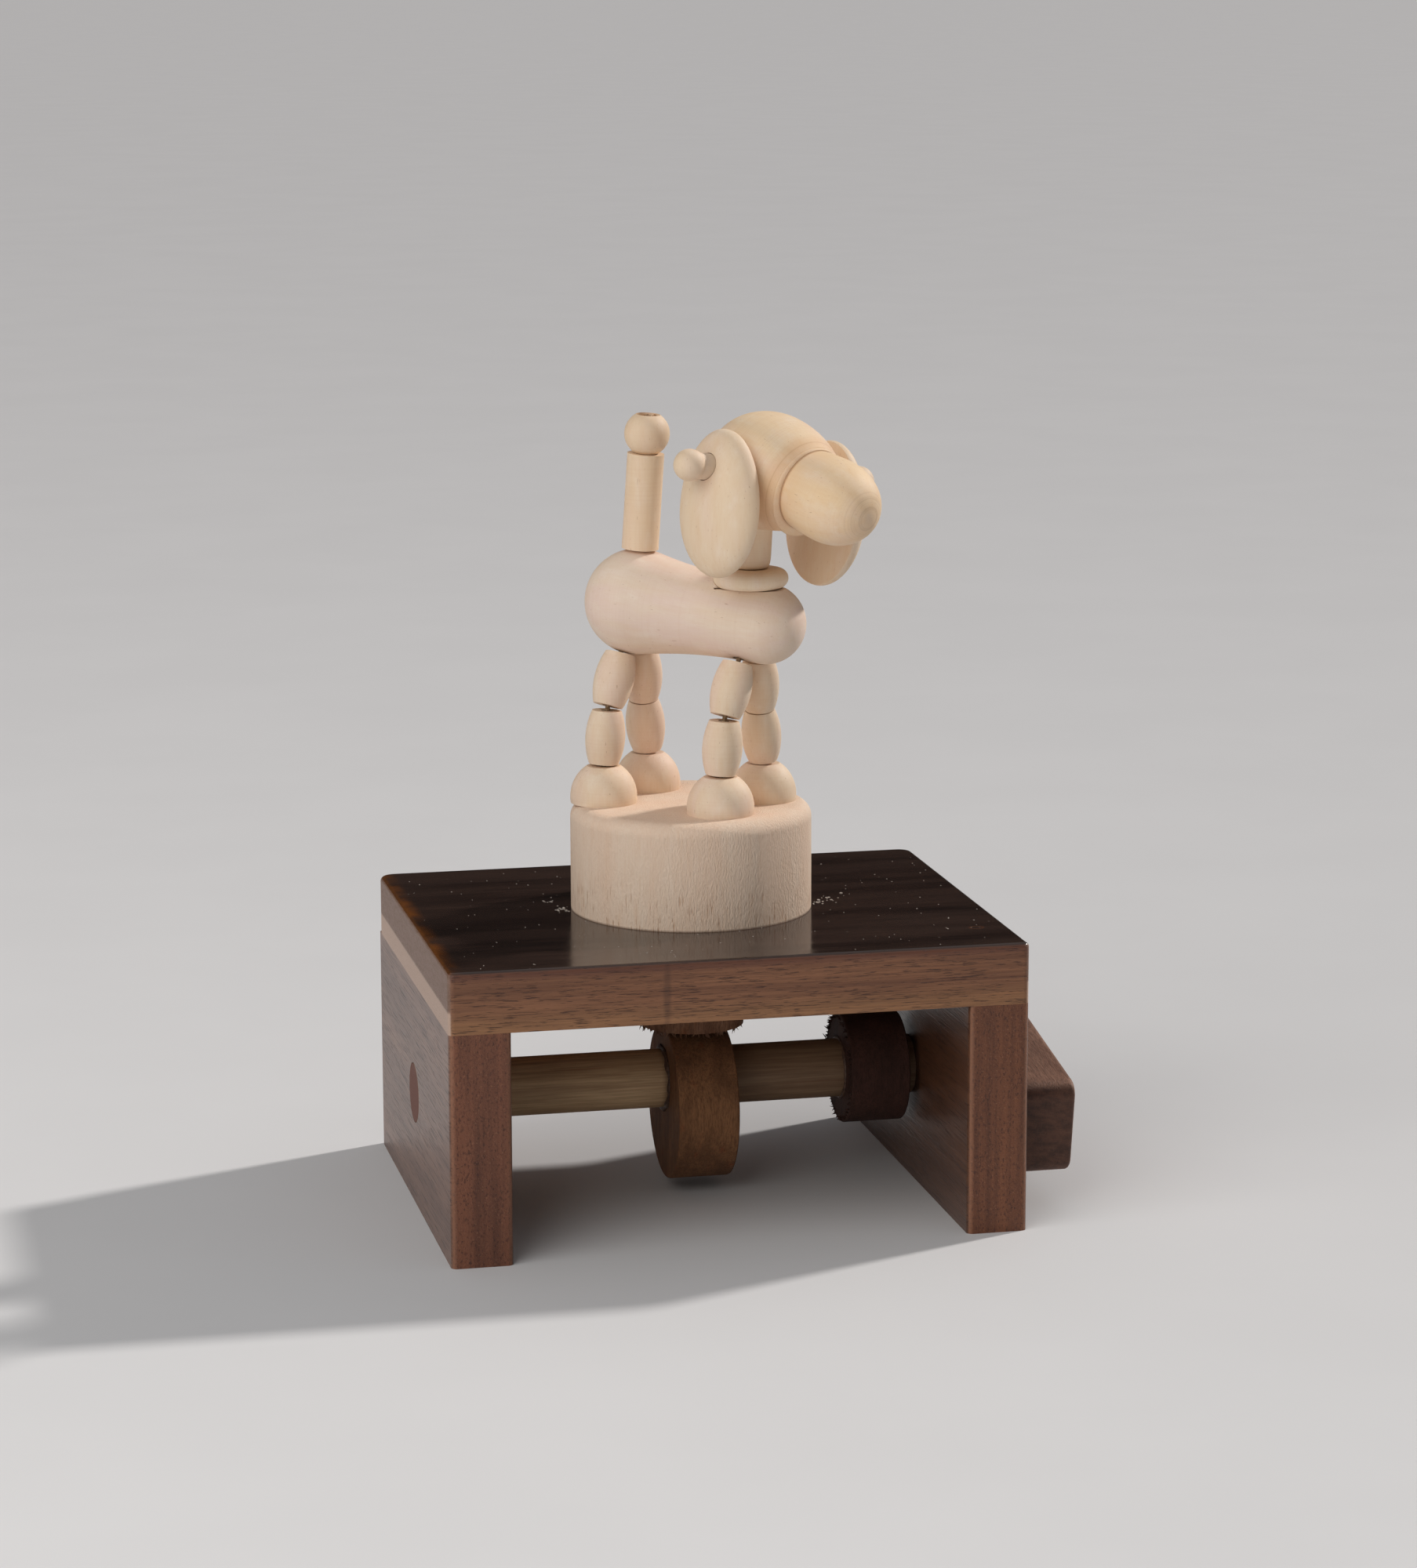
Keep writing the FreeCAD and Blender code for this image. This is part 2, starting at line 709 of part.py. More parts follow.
def bore_in_torso(diameter, start, end):
    way = end - start
    bore = FreeCAD.Placement(start, FreeCAD.Rotation(Z_AXIS, way))
    drill = doc.addObject("Part::Cylinder", "torso_drill")
    tie(drill, Radius=f"{diameter} / 2")
    drill.Height = way.Length
    drill.Placement = torso_in_dog.inverse() * bore
    return drill


torso_strands = []
torso_drills = []
above = rear_height + rear_cap * 2
tail_base = FreeCAD.Vector(-size("tail_behind"), 0, backbone_height(-size("tail_behind")))
neck_base = FreeCAD.Vector(size("neck_ahead"), 0, backbone_height(size("neck_ahead")))
tail_seat = rear_height + rear_cap + size("seat_gap")
neck_seat_z = neck_base.z + size("neck_seat_rise")
tops = {"rear": (tail_base, tail_seat), "front": (neck_base, neck_seat_z)}
for end, (meeting, seat) in tops.items():
    sump = meeting - Z_AXIS * size("torso_bore") / 2
    torso_drills.append(bore_in_torso("torso_bore", sump, FreeCAD.Vector(meeting.x, 0, above)))
    junction = doc.addObject("Part::Sphere", f"torso_junction_{end}")
    tie(junction, Radius="string_joint_diameter / 2")
    junction.Placement = FreeCAD.Placement(meeting, FreeCAD.Rotation())
    threads = [junction, strand(f"torso_strand_{end}", meeting, FreeCAD.Vector(meeting.x, 0, seat))]
    for side in ("near", "far"):
        base, way = leg_stack(end, side)["upper"]
        hip = base + way * size("bead_length")
        threads.append(strand(f"torso_strand_{end}_{side}", hip, meeting))
        torso_drills.append(bore_in_torso("string_hole", hip - (meeting - hip).normalize(), meeting))
    torso_strands.append(fused(f"torso_strands_{end}", threads))

seat_mill = doc.addObject("Part::Cylinder", "neck_seat_mill")
tie(seat_mill, Radius="ring_diameter / 2 + seat_gap", Height="ring_diameter")
neck_seat = place(size("neck_ahead"), 0, neck_seat_z)
seat_mill.Placement = torso_in_dog.inverse() * neck_seat
finish("torso", cut_by("torso", torso_body, torso_drills + [seat_mill]), dog * torso_in_dog)
finish("torso_strings", fused("torso_strings", torso_strands), dog)

# Neck: a flat ring on the torso and a tapered neck on the ring

ring_z = neck_seat_z + size("seat_gap")
neck_z = ring_z + size("ring_thickness") + size("seat_gap")
ring = turned(
    "neck_ring",
    [
        ("string_hole / 2", "0"),
        ("ring_diameter / 2 - ring_thickness / 2", "0", "ring_thickness / 2"),
        ("ring_diameter / 2", "ring_thickness / 2", "ring_thickness / 2"),
        ("ring_diameter / 2 - ring_thickness / 2", "ring_thickness"),
        ("string_hole / 2", "ring_thickness"),
    ],
)
finish("neck_ring", ring, head * place(0, 0, ring_z))
neck = turned(
    "neck",
    [
        ("string_hole / 2", "0"),
        ("neck_bottom_diameter / 2", "0"),
        ("neck_top_diameter / 2", "neck_length"),
        ("string_hole / 2", "neck_length"),
    ],
)
finish("neck", neck, head * place(0, 0, neck_z))
neck_strand = rod("neck_strand", "string_diameter", "ring_thickness + seat_gap + neck_length")
finish("neck_string", neck_strand, head * place(0, 0, ring_z))

# Head: an egg-shaped cranium with a flat below for the neck and a flat ahead for the muzzle

chin_z = neck_z + size("neck_length") + size("seat_gap")
head_way = turn(Y_AXIS, 90 + size("head_pitch"))
cranium_middle = FreeCAD.Vector(size("cranium_ahead"), 0, chin_z + size("cranium_rise"))
cranium_in_head = FreeCAD.Placement(cranium_middle, head_way)


def half_egg(name, length, radius, angles):
    egg = doc.addObject("Part::Ellipsoid", name)
    tie(egg, Radius1=length, Radius2=radius, Radius3=radius, Angle1=angles[0], Angle2=angles[1])
    return egg


back_half = half_egg("cranium_back", "cranium_back_length", "cranium_radius", ("-90", "0"))
front_angle = "asin(cranium_cut / cranium_front_length)"
front_half = half_egg("cranium_front", "cranium_front_length", "cranium_radius", ("0", front_angle))
egg = fused("cranium_egg", [back_half, front_half])
chin_saw = doc.addObject("Part::Box", "chin_saw")
tie(chin_saw, Length="4 * cranium_radius", Width="4 * cranium_radius", Height="2 * cranium_radius")
chin_cut = place(-2 * size("cranium_radius"), -2 * size("cranium_radius"), chin_z - 2 * size("cranium_radius"))
chin_saw.Placement = cranium_in_head.inverse() * chin_cut
string_bore = rod("head_string_bore", "string_hole", "cranium_rise")
string_bore.Placement = cranium_in_head.inverse() * place(0, 0, chin_z - size("seat_gap"))

# Each ear hangs on a peg that is glued into the side of the cranium
peg_sides = {}
for side, sign in (("near", -1), ("far", 1)):
    roll = turn(X_AXIS, 90 * -sign - size("ear_roll"))
    peg_sides[side] = FreeCAD.Placement(cranium_middle, roll)
peg_holes = []
for side, peg_way in peg_sides.items():
    hole = rod(f"peg_hole_{side}", "peg_diameter + 2 * glue_line", "cranium_radius")
    start = FreeCAD.Placement(peg_way)
    start.Base = start.multVec(FreeCAD.Vector(0, 0, size("cranium_radius") - size(side + "_peg_depth")))
    hole.Placement = cranium_in_head.inverse() * start
    peg_holes.append(hole)
cranium = cut_by("cranium", egg, [chin_saw, string_bore] + peg_holes)
finish("cranium", cranium, head * cranium_in_head)
head_string = rod("head_strand", "string_diameter", "cranium_rise - seat_gap")
finish("head_string", head_string, head * place(0, 0, chin_z))

muzzle_in_head = cranium_in_head * place(-size("muzzle_rise"), 0, size("cranium_cut") + size("muzzle_widest"))
muzzle_back = half_egg(
    "muzzle_back",
    "muzzle_back_length",
    "muzzle_radius",
    ("-asin((muzzle_widest - glue_line) / muzzle_back_length)", "0"),
)
muzzle_nose = half_egg("muzzle_nose", "muzzle_nose_length", "muzzle_radius", ("0", "90"))
finish("muzzle", fused("muzzle", [muzzle_back, muzzle_nose]), head * muzzle_in_head)

# Ears: flat-backed eggs with a domed front, wider below, loose on their pegs


def half_ear(name, length, way):
    """The half of an ear that reaches the given length from its widest place."""
    shell = doc.addObject("Part::Ellipsoid", name)
    tie(shell, Radius1="ear_dome", Radius2="ear_half_width", Radius3=length)
    tie(shell, Angle1="-asin(ear_back / ear_dome)")
    shell.Angle3 = 180
    shell.Placement = place(0, 0, 0, turn(Z_AXIS, way))
    return shell


for side, peg_way in peg_sides.items():
    sign = 1 if side == "far" else -1
    lower_way, upper_way = (0, 180) if side == "far" else (180, 0)
    lower_half = half_ear(side + "_ear_lower", "ear_lower_length", lower_way)
    upper_half = half_ear(side + "_ear_upper", "ear_upper_length", upper_way)
    ear_shell = fused(side + "_ear_shell", [lower_half, upper_half])
    hang = size("ear_hang") * sign
    depth = "ear_dome + ear_back"
    peg_hole = ("peg_diameter + 2 * ear_hole_clearance", depth, place(0, -hang, -size("ear_back")))
    ear = drilled(side + "_ear", ear_shell, [peg_hole])
    swing = turn(Z_AXIS, size(side + "_ear_swing") * -sign)
    out = size("cranium_radius") + size(side + "_ear_gap") + size("ear_back")
    ear_in_peg = FreeCAD.Placement(FreeCAD.Vector(0, 0, out), swing) * place(0, hang, 0)
    finish(side + "_ear", ear, head * peg_way * ear_in_peg)

    peg_seat = f"{side}_peg_depth + {side}_ear_gap"
    peg_shank = f"{peg_seat} + ear_back + ear_dome + peg_neck_length + peg_ball_diameter / 2"
    shank = rod(side + "_peg_shank", "peg_diameter", peg_shank)
    ball = doc.addObject("Part::Sphere", side + "_peg_ball")
    tie(ball, Radius="peg_ball_diameter / 2")
    ball.Placement = place(0, 0, value_of(peg_shank))
    peg = fused(side + "_ear_peg", [shank, ball])
    inner_end = place(0, 0, size("cranium_radius") - size(side + "_peg_depth"))
    finish(side + "_ear_peg", peg, head * peg_way * inner_end)

# Tail: a rod and a drilled ball on the string that comes up through the rump

tail_in_dog = place(-size("tail_behind"), 0, tail_seat, turn(Y_AXIS, size("tail_lean")))
tail_rod = turned(
    "tail_rod",
    [
        ("string_hole / 2", "0"),
        ("tail_diameter / 2", "0"),
        ("tail_diameter / 2", "tail_length"),
        ("string_hole / 2", "tail_length"),
    ],
)
finish("tail_rod", tail_rod, dog * tail_in_dog)
tail_sphere = doc.addObject("Part::Sphere", "tail_sphere")
tie(tail_sphere, Radius="tail_ball_diameter / 2")
hole_length = "tail_ball_diameter"
tail_ball = drilled(
    "tail_ball",
    tail_sphere,
    [("tail_hole", hole_length, place(0, 0, -size("tail_ball_diameter") / 2))],
)
ball_radius = size("tail_ball_diameter") / 2
ball_sink = math.sqrt(ball_radius**2 - (size("tail_hole") / 2) ** 2)
ball_z = size("tail_length") + size("seat_gap") + ball_sink
finish("tail_ball", tail_ball, dog * tail_in_dog * place(0, 0, ball_z))
tail_strand = rod("tail_strand", "string_diameter", "tail_length + tail_ball_diameter / 2")
knot = doc.addObject("Part::Sphere", "tail_knot")
tie(knot, Radius="knot_diameter / 2")
knot.Placement = place(0, 0, size("tail_length") + ball_sink + size("knot_diameter") / 2)
finish("tail_string", fused("tail_string", [tail_strand, knot]), dog * tail_in_dog)

# Check every object, then write each piece to its own file

doc.recompute()
faults = [o.Name for o in doc.Objects if "Invalid" in o.State or "Error" in o.State]
for piece in nodes:
    if piece.Shape.isNull() or not piece.Shape.isValid():
        faults.append(piece.Label)
    if not piece.Shape.Solids:
        faults.append(piece.Label + " holds no solid")
if faults:
    raise RuntimeError("these pieces failed: " + ", ".join(faults))
os.makedirs("parts", exist_ok=True)
for piece in nodes:
    piece.Shape.exportStep(os.path.join("parts", piece.Label + ".step"))
print(len(nodes), "pieces written")
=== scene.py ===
import json
import math
import random

import bpy
from mathutils import Matrix, Vector
from mathutils.bvhtree import BVHTree


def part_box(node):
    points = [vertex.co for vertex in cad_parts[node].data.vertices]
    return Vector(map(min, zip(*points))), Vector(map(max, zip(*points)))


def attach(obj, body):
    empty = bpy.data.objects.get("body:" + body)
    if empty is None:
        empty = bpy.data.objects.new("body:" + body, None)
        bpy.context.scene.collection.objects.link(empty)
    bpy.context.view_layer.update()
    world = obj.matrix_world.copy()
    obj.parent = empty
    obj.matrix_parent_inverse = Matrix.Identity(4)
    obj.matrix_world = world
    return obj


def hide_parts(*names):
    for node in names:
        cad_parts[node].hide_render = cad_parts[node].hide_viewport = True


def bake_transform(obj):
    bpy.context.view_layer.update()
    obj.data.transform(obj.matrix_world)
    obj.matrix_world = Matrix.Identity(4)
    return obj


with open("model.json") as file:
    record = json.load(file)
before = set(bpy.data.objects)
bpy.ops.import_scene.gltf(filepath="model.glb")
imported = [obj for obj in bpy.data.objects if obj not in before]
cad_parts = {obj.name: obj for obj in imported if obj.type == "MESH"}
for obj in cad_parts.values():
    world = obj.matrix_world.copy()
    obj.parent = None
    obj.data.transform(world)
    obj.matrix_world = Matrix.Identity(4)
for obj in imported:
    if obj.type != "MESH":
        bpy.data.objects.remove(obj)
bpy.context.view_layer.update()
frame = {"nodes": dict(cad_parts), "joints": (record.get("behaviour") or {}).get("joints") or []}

# The table top: a 10 mm walnut board, stained and lacquered until its upper face is nearly black.
# The lacquer is worn to orange brown along the left end. The sawn edges are bare, so the front
# shows long grain with short dark pores and the left end shows paler, pinkish end grain.

MM = 0.001
ORIGIN = (0, 0, 0)
GRAIN_ALONG_X = (0, 0, 0)
GRAIN_ALONG_Y = (0, 0, math.radians(90))
GRAIN_UPRIGHT = (0, math.radians(-90), 0)


def linear(hex_colour):
    """An sRGB hex colour as linear red, green, blue and alpha."""
    channels = [int(hex_colour[i:i + 2], 16) / 255 for i in (1, 3, 5)]
    return [c / 12.92 if c <= 0.04045 else ((c + 0.055) / 1.055) ** 2.4 for c in channels] + [1.0]


def add(tree, kind, sockets=None, **settings):
    """Add a node with its settings and links, and give its first live output."""
    node = tree.nodes.new("ShaderNode" + kind)
    for name, value in settings.items():
        setattr(node, name, value)
    for name, value in (sockets or {}).items():
        if isinstance(value, bpy.types.NodeSocket):
            tree.links.new(value, node.inputs[name])
        else:
            node.inputs[name].default_value = value
    return next((output for output in node.outputs if output.enabled), node)


def in_wood(tree, turn, size, at=(0, 0, 0)):
    """The place in the piece from a point, counted in lengths, widths and depths given in mm."""
    here = add(tree, "TexCoord").node.outputs["Object"]
    point = tuple(value * MM for value in at)
    steps = tuple(value * MM for value in size)
    return add(
        tree,
        "Mapping",
        {"Vector": here, "Location": point, "Rotation": turn, "Scale": steps},
        vector_type="TEXTURE",
    )


def grain(tree, turn, size, low, high, most=1.0, seed=0.0, detail=3.0):
    """Fibres of a length, width and depth in mm, as a mask from 0 to most.

    One fibre is about 0.03 mm across and would not show, so fibres are drawn coarser than real, in
    bundles about 0.3 mm wide. Pores, bands, lathe rings and tears have their real sizes.
    """
    fibres = {
        "Vector": in_wood(tree, turn, size),
        "W": seed,
        "Scale": 1.0,
        "Detail": detail,
        "Roughness": 0.6,
    }
    wave = add(tree, "TexNoise", fibres, noise_dimensions="4D")
    levels = {"Value": wave, "From Min": low, "From Max": high, "To Max": most}
    return add(tree, "MapRange", levels, interpolation_type="SMOOTHSTEP")


def fade(tree, turn, at, start, end, most=1.0):
    """A mask from 0 to most between two distances in mm along a turned line from a point."""
    place = add(tree, "SeparateXYZ", {0: in_wood(tree, turn, (1, 1, 1), at)})
    levels = {"Value": place, "From Min": start, "From Max": end, "To Max": most}
    return add(tree, "MapRange", levels, interpolation_type="SMOOTHSTEP")


def spot(tree, turn, at, size, inner, most=1.0):
    """A mask that is most inside a rounded spot and fades to 0 at its size in mm."""
    far = add(tree, "VectorMath", {0: in_wood(tree, turn, size, at)}, operation="LENGTH")
    levels = {"Value": far, "From Min": 1.0, "From Max": inner, "To Max": most}
    return add(tree, "MapRange", levels, interpolation_type="SMOOTHSTEP")


def facing(tree, way, both_ways=True, most=1.0):
    """A mask of the faces that look along a line: none from 63 degrees off it, full within 37."""
    normal = add(tree, "TexCoord").node.outputs["Normal"]
    look = add(tree, "VectorMath", {0: normal, 1: way}, operation="DOT_PRODUCT")
    if both_ways:
        look = add(tree, "Math", {0: look}, operation="ABSOLUTE")
    levels = {"Value": look, "From Min": 0.45, "From Max": 0.8, "To Max": most}
    return add(tree, "MapRange", levels, interpolation_type="SMOOTHSTEP")


def stained(tree, wood, layers):
    """Lay colours over the wood one after another, each where its mask is high."""
    for mask, colour in layers:
        wood = add(tree, "Mix", {0: mask, 6: wood, 7: linear(colour)}, data_type="RGBA")
    return wood


def finished(name, paint, relief_mm, **surface):
    """A material from a function that paints its tree and gives its colour, relief and roughness."""
    material = bpy.data.materials.new(name)
    material.use_nodes = True
    tree = material.node_tree
    tree.nodes.clear()
    colour, relief, roughness = paint(tree)
    bump = add(tree, "Bump", {"Height": relief, "Distance": relief_mm * MM, "Strength": 1.0})
    sockets = {"Base Color": colour, "Normal": bump, "Roughness": roughness, **surface}
    add(tree, "OutputMaterial", {"Surface": add(tree, "BsdfPrincipled", sockets)})
    return material


def dress(material, *node_names):
    """Give CAD pieces a material."""
    for node_name in node_names:
        slots = frame["nodes"][node_name].data.materials
        slots.clear()
        slots.append(material)


def corners_mm(node_name):
    """The low and high corners of a CAD piece's box in mm."""
    return [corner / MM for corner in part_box(node_name)]


top_low, top_high = corners_mm("table_top")
STREAK_AT = (-17.5, top_low.y, 43)  # a dark upright streak across the front edge
DENT_AT = (36.6, -25.1, 48)  # a small ring pressed into the lacquer near its front right corner
DENT_SIZE = (1.1, 0.9, 9)
PALE_BAND = 3.9  # height of the paler lower part of the left and right ends
DUST_SPACING = (3.2, 3.2, 3.2)


def walnut_board(tree):
    """Sawn walnut: bands a millimetre apart, fine fibres and pores up to 3 mm long."""
    pores = grain(tree, GRAIN_ALONG_X, (2.8, 0.22, 0.17), 0.56, 0.66, 0.8, seed=2, detail=2)
    fibres = grain(tree, GRAIN_ALONG_X, (11, 0.3, 0.3), 0.35, 0.75, 0.45, seed=3)
    bare = stained(tree, linear("#8b5e42"), [
        (grain(tree, GRAIN_ALONG_X, (60, 3, 1.1), 0.35, 0.65, 0.8, seed=1), "#68422e"),
        (fade(tree, GRAIN_UPRIGHT, ORIGIN, top_low.z + 4.5, top_low.z + 0.5, 0.5), "#a3774f"),
        (fibres, "#553424"),
        (fade(tree, GRAIN_UPRIGHT, ORIGIN, top_high.z - 2.2, top_high.z - 0.7, 0.7), "#5a3429"),
        (spot(tree, GRAIN_UPRIGHT, STREAK_AT, (8, 0.9, 0.9), 0.3, 0.45), "#43291f"),
        (pores, "#3d241c"),
    ])
    band_top = top_low.z + PALE_BAND
    end = stained(tree, linear("#876b5e"), [
        (grain(tree, GRAIN_ALONG_X, (60, 2.2, 0.7), 0.35, 0.7, 0.7, seed=4), "#71543f"),
        (grain(tree, GRAIN_ALONG_X, (60, 0.35, 0.3), 0.5, 0.7, 0.5, seed=5), "#63453a"),
        (fade(tree, GRAIN_UPRIGHT, ORIGIN, band_top, band_top - 0.6, 0.75), "#cdb1a0"),
    ])
    sawn = add(tree, "Mix", {0: facing(tree, (1, 0, 0)), 6: bare, 7: end}, data_type="RGBA")
    wavy = grain(tree, GRAIN_UPRIGHT, (30, 7, 7), 0.3, 0.7, seed=6)
    left_end = fade(tree, GRAIN_ALONG_X, top_low, 3.0, 0.5)
    edge = add(tree, "Math", {0: left_end, 1: wavy}, operation="MULTIPLY")
    upper = facing(tree, (0, 0, 1), both_ways=False)
    spaced = in_wood(tree, GRAIN_ALONG_X, DUST_SPACING)
    cell = add(tree, "TexVoronoi", {"Vector": spaced, "Scale": 1.0})
    speck = add(tree, "MapRange", {"Value": cell, "From Min": 0.05, "From Max": 0.03, "To Max": 0.5})
    from_dent = in_wood(tree, GRAIN_ALONG_X, DENT_SIZE, DENT_AT)
    dent = add(tree, "VectorMath", {0: from_dent}, operation="LENGTH")
    ring = add(tree, "Math", {0: dent, 1: 1.0, 2: 0.14}, operation="COMPARE")
    lacquer = stained(tree, linear("#362924"), [
        (grain(tree, GRAIN_ALONG_X, (60, 6, 6), 0.35, 0.7, seed=7), "#231916"),
        (grain(tree, GRAIN_ALONG_X, (14, 0.4, 0.4), 0.4, 0.8, 0.5, seed=8), "#4b3830"),
        (edge, "#6b3f1d"),
        (fade(tree, GRAIN_ALONG_X, top_low, 0.9, 0.2, 0.6), "#7b4c26"),
        (ring, "#5b3a2a"),
        (speck, "#a39a92"),
    ])
    colour = add(tree, "Mix", {0: upper, 6: sawn, 7: lacquer}, data_type="RGBA")
    worn = grain(tree, GRAIN_ALONG_X, (20, 8, 8), 0.35, 0.75, seed=9)
    gloss = add(tree, "MapRange", {"Value": worn, "To Min": 0.1, "To Max": 0.2})
    roughness = add(tree, "Mix", {0: upper, 2: 0.5, 3: gloss})
    relief = add(tree, "Math", {0: fibres, 1: pores}, operation="SUBTRACT")
    bare_share = add(tree, "Math", {0: 1.03, 1: upper}, operation="SUBTRACT")
    relief = add(tree, "Math", {0: relief, 1: bare_share}, operation="MULTIPLY")
    return colour, relief, roughness


dress(finished("lacquered_walnut", walnut_board, 0.05, IOR=1.5), "table_top")

# The legs: two walnut boards glued on edge under the top, with a thin satin finish on their faces.
# Their grain runs from front to back, so the faces show long dark streaks and the narrow fronts
# show redder end grain in upright bands with fine dots and a worn, paler edge.


def walnut_leg(leg, light, dark, end_light, end_dark, seed):
    """Paint for one leg: the same fibres are streaks on its faces and dots on its front."""
    left_edge, right_edge = corners_mm(leg)

    def paint(tree):
        fibres = grain(tree, GRAIN_ALONG_Y, (12, 0.35, 0.35), 0.4, 0.75, 0.45, seed=seed)
        pores = grain(tree, GRAIN_ALONG_Y, (8, 0.3, 0.26), 0.54, 0.66, 0.8, seed=seed + 1, detail=2)
        face = stained(tree, linear(light), [
            (grain(tree, GRAIN_ALONG_Y, (60, 4, 2.4), 0.3, 0.7, 0.75, seed=seed + 2), dark),
            (fibres, "#54372c"),
            (pores, "#38211b"),
        ])
        rings = grain(tree, GRAIN_ALONG_Y, (80, 1.8, 50), 0.35, 0.68, 0.7, seed=seed + 3)
        dots = grain(tree, GRAIN_ALONG_Y, (2, 0.35, 0.6), 0.5, 0.68, 0.75, seed=seed + 4)
        end = stained(tree, linear(end_light), [
            (rings, end_dark),
            (dots, "#3c1f17"),
            (grain(tree, GRAIN_ALONG_Y, (2, 0.25, 0.35), 0.56, 0.72, 0.55, seed=seed + 5), "#9a6b50"),
            (fade(tree, GRAIN_ALONG_X, left_edge, 1.1, 0.2, 0.45), "#a27358"),
            (fade(tree, GRAIN_ALONG_X, right_edge, -1.1, -0.2, 0.45), "#a27358"),
        ])
        mask = facing(tree, (0, 1, 0))
        colour = add(tree, "Mix", {0: mask, 6: face, 7: end}, data_type="RGBA")
        relief = add(tree, "Math", {0: fibres, 1: pores}, operation="SUBTRACT")
        roughness = add(tree, "MapRange", {"Value": mask, "To Min": 0.34, "To Max": 0.55})
        return colour, relief, roughness

    return paint


left_paint = walnut_leg("left_leg", "#83604f", "#5a3c2f", "#7c4c36", "#4d2c1f", 20)
right_paint = walnut_leg("right_leg", "#62402d", "#432a1e", "#79492f", "#4f2c1e", 40)
dress(finished("satin_walnut_left", left_paint, 0.05, IOR=1.5), "left_leg")
dress(finished("satin_walnut_right", right_paint, 0.05, IOR=1.5), "right_leg")

# The crank: a sanded dowel through both legs, with an eccentric cam and a collar glued to it
# inside them and a sawn arm outside. The discs came out of a hole saw, so their rims are furry
# and their faces scored, and the collar's left face has torn out along its rim.

cam_low = corners_mm("cam")[0]
collar_low = corners_mm("collar")[0]
SHAFT_Z = 19.0
SHAFT_RADIUS = 4.9
ARM_DROOP = math.radians(9.8)
ALONG_X = Vector((1, 0, 0))


def sanded_dowel(tree):
    """Ramin or beech dowel: tan, in grey-brown streaks along it, with a redder stained end."""
    fibres = grain(tree, GRAIN_ALONG_X, (9, 0.3, 0.3), 0.35, 0.7, 0.5, seed=60)
    colour = stained(tree, linear("#d6b58d"), [
        (grain(tree, GRAIN_ALONG_X, (45, 1.6, 1.6), 0.35, 0.68, 0.8, seed=61), "#a98765"),
        (fibres, "#8a6a4e"),
        (grain(tree, GRAIN_ALONG_X, (30, 0.5, 0.5), 0.62, 0.75, 0.6, seed=62), "#9c6242"),
        (fade(tree, GRAIN_ALONG_X, cam_low, -1.4, 0.0, 0.7), "#4a3125"),
        (facing(tree, ALONG_X), "#6d4032"),
    ])
    return colour, fibres, 0.6


def furry_disc(light, dark, red, seed):
    """Paint for a hole-sawn disc: patchy brown, with torn fur on its rim and arcs on its faces."""

    def paint(tree):
        fur = grain(tree, GRAIN_UPRIGHT, (1.1, 0.22, 0.22), 0.4, 0.72, 0.6, seed=seed)
        tufts = grain(tree, GRAIN_ALONG_X, (0.7, 0.22, 0.22), 0.56, 0.74, 0.5, seed=seed + 1)
        colour = stained(tree, linear(light), [
            (grain(tree, GRAIN_UPRIGHT, (12, 4, 4), 0.35, 0.65, 0.6, seed=seed + 2), dark),
            (grain(tree, GRAIN_UPRIGHT, (5, 2, 2), 0.55, 0.75, 0.7, seed=seed + 3), red),
            (grain(tree, GRAIN_UPRIGHT, (14, 0.5, 0.5), 0.45, 0.7, 0.5, seed=seed + 4), dark),
            (fur, dark),
            (tufts, light),
        ])
        return colour, add(tree, "Math", {0: tufts, 1: fur}, operation="SUBTRACT"), 0.85

    return paint


rough_surface = {"Specular IOR Level": 0.3}
cam_paint = furry_disc("#8c6242", "#533522", "#7d4024", 70)
collar_paint = furry_disc("#4a2e26", "#2a1812", "#43241a", 80)
cam_wood = finished("hole_sawn_cam_wood", cam_paint, 0.1, **rough_surface)
collar_wood = finished("hole_sawn_collar_wood", collar_paint, 0.1, **rough_surface)
dress(finished("sanded_dowel", sanded_dowel, 0.03, **rough_surface), "crank_shaft")
dress(cam_wood, "cam")
dress(collar_wood, "collar")


def sawn_arm(tree):
    """Sawn hardwood with its grain along the arm: mid brown above and nearly black at its end."""
    droop = (ARM_DROOP, 0, math.radians(90))
    to_its_end = (0, 0.985, 0.17)
    fibres = grain(tree, droop, (10, 0.3, 0.3), 0.35, 0.72, 0.5, seed=90)
    saw = grain(tree, GRAIN_UPRIGHT, (20, 0.3, 0.3), 0.4, 0.7, 0.35, seed=91)
    colour = stained(tree, linear("#96705c"), [
        (facing(tree, to_its_end, most=0.9), "#2c1b16"),
        (grain(tree, droop, (3, 1.4, 1.1), 0.5, 0.75, 0.4, seed=94), "#7a5848"),
        (grain(tree, droop, (40, 3, 1.2), 0.35, 0.65, 0.7, seed=92), "#6d4a3a"),
        (fibres, "#4c3026"),
        (saw, "#5b3d31"),
        (grain(tree, droop, (3, 0.3, 0.25), 0.6, 0.7, 0.6, seed=93), "#2e1b16"),
    ])
    return colour, fibres, 0.6


dress(finished("sawn_arm_wood", sawn_arm, 0.06, **rough_surface), "crank_arm")


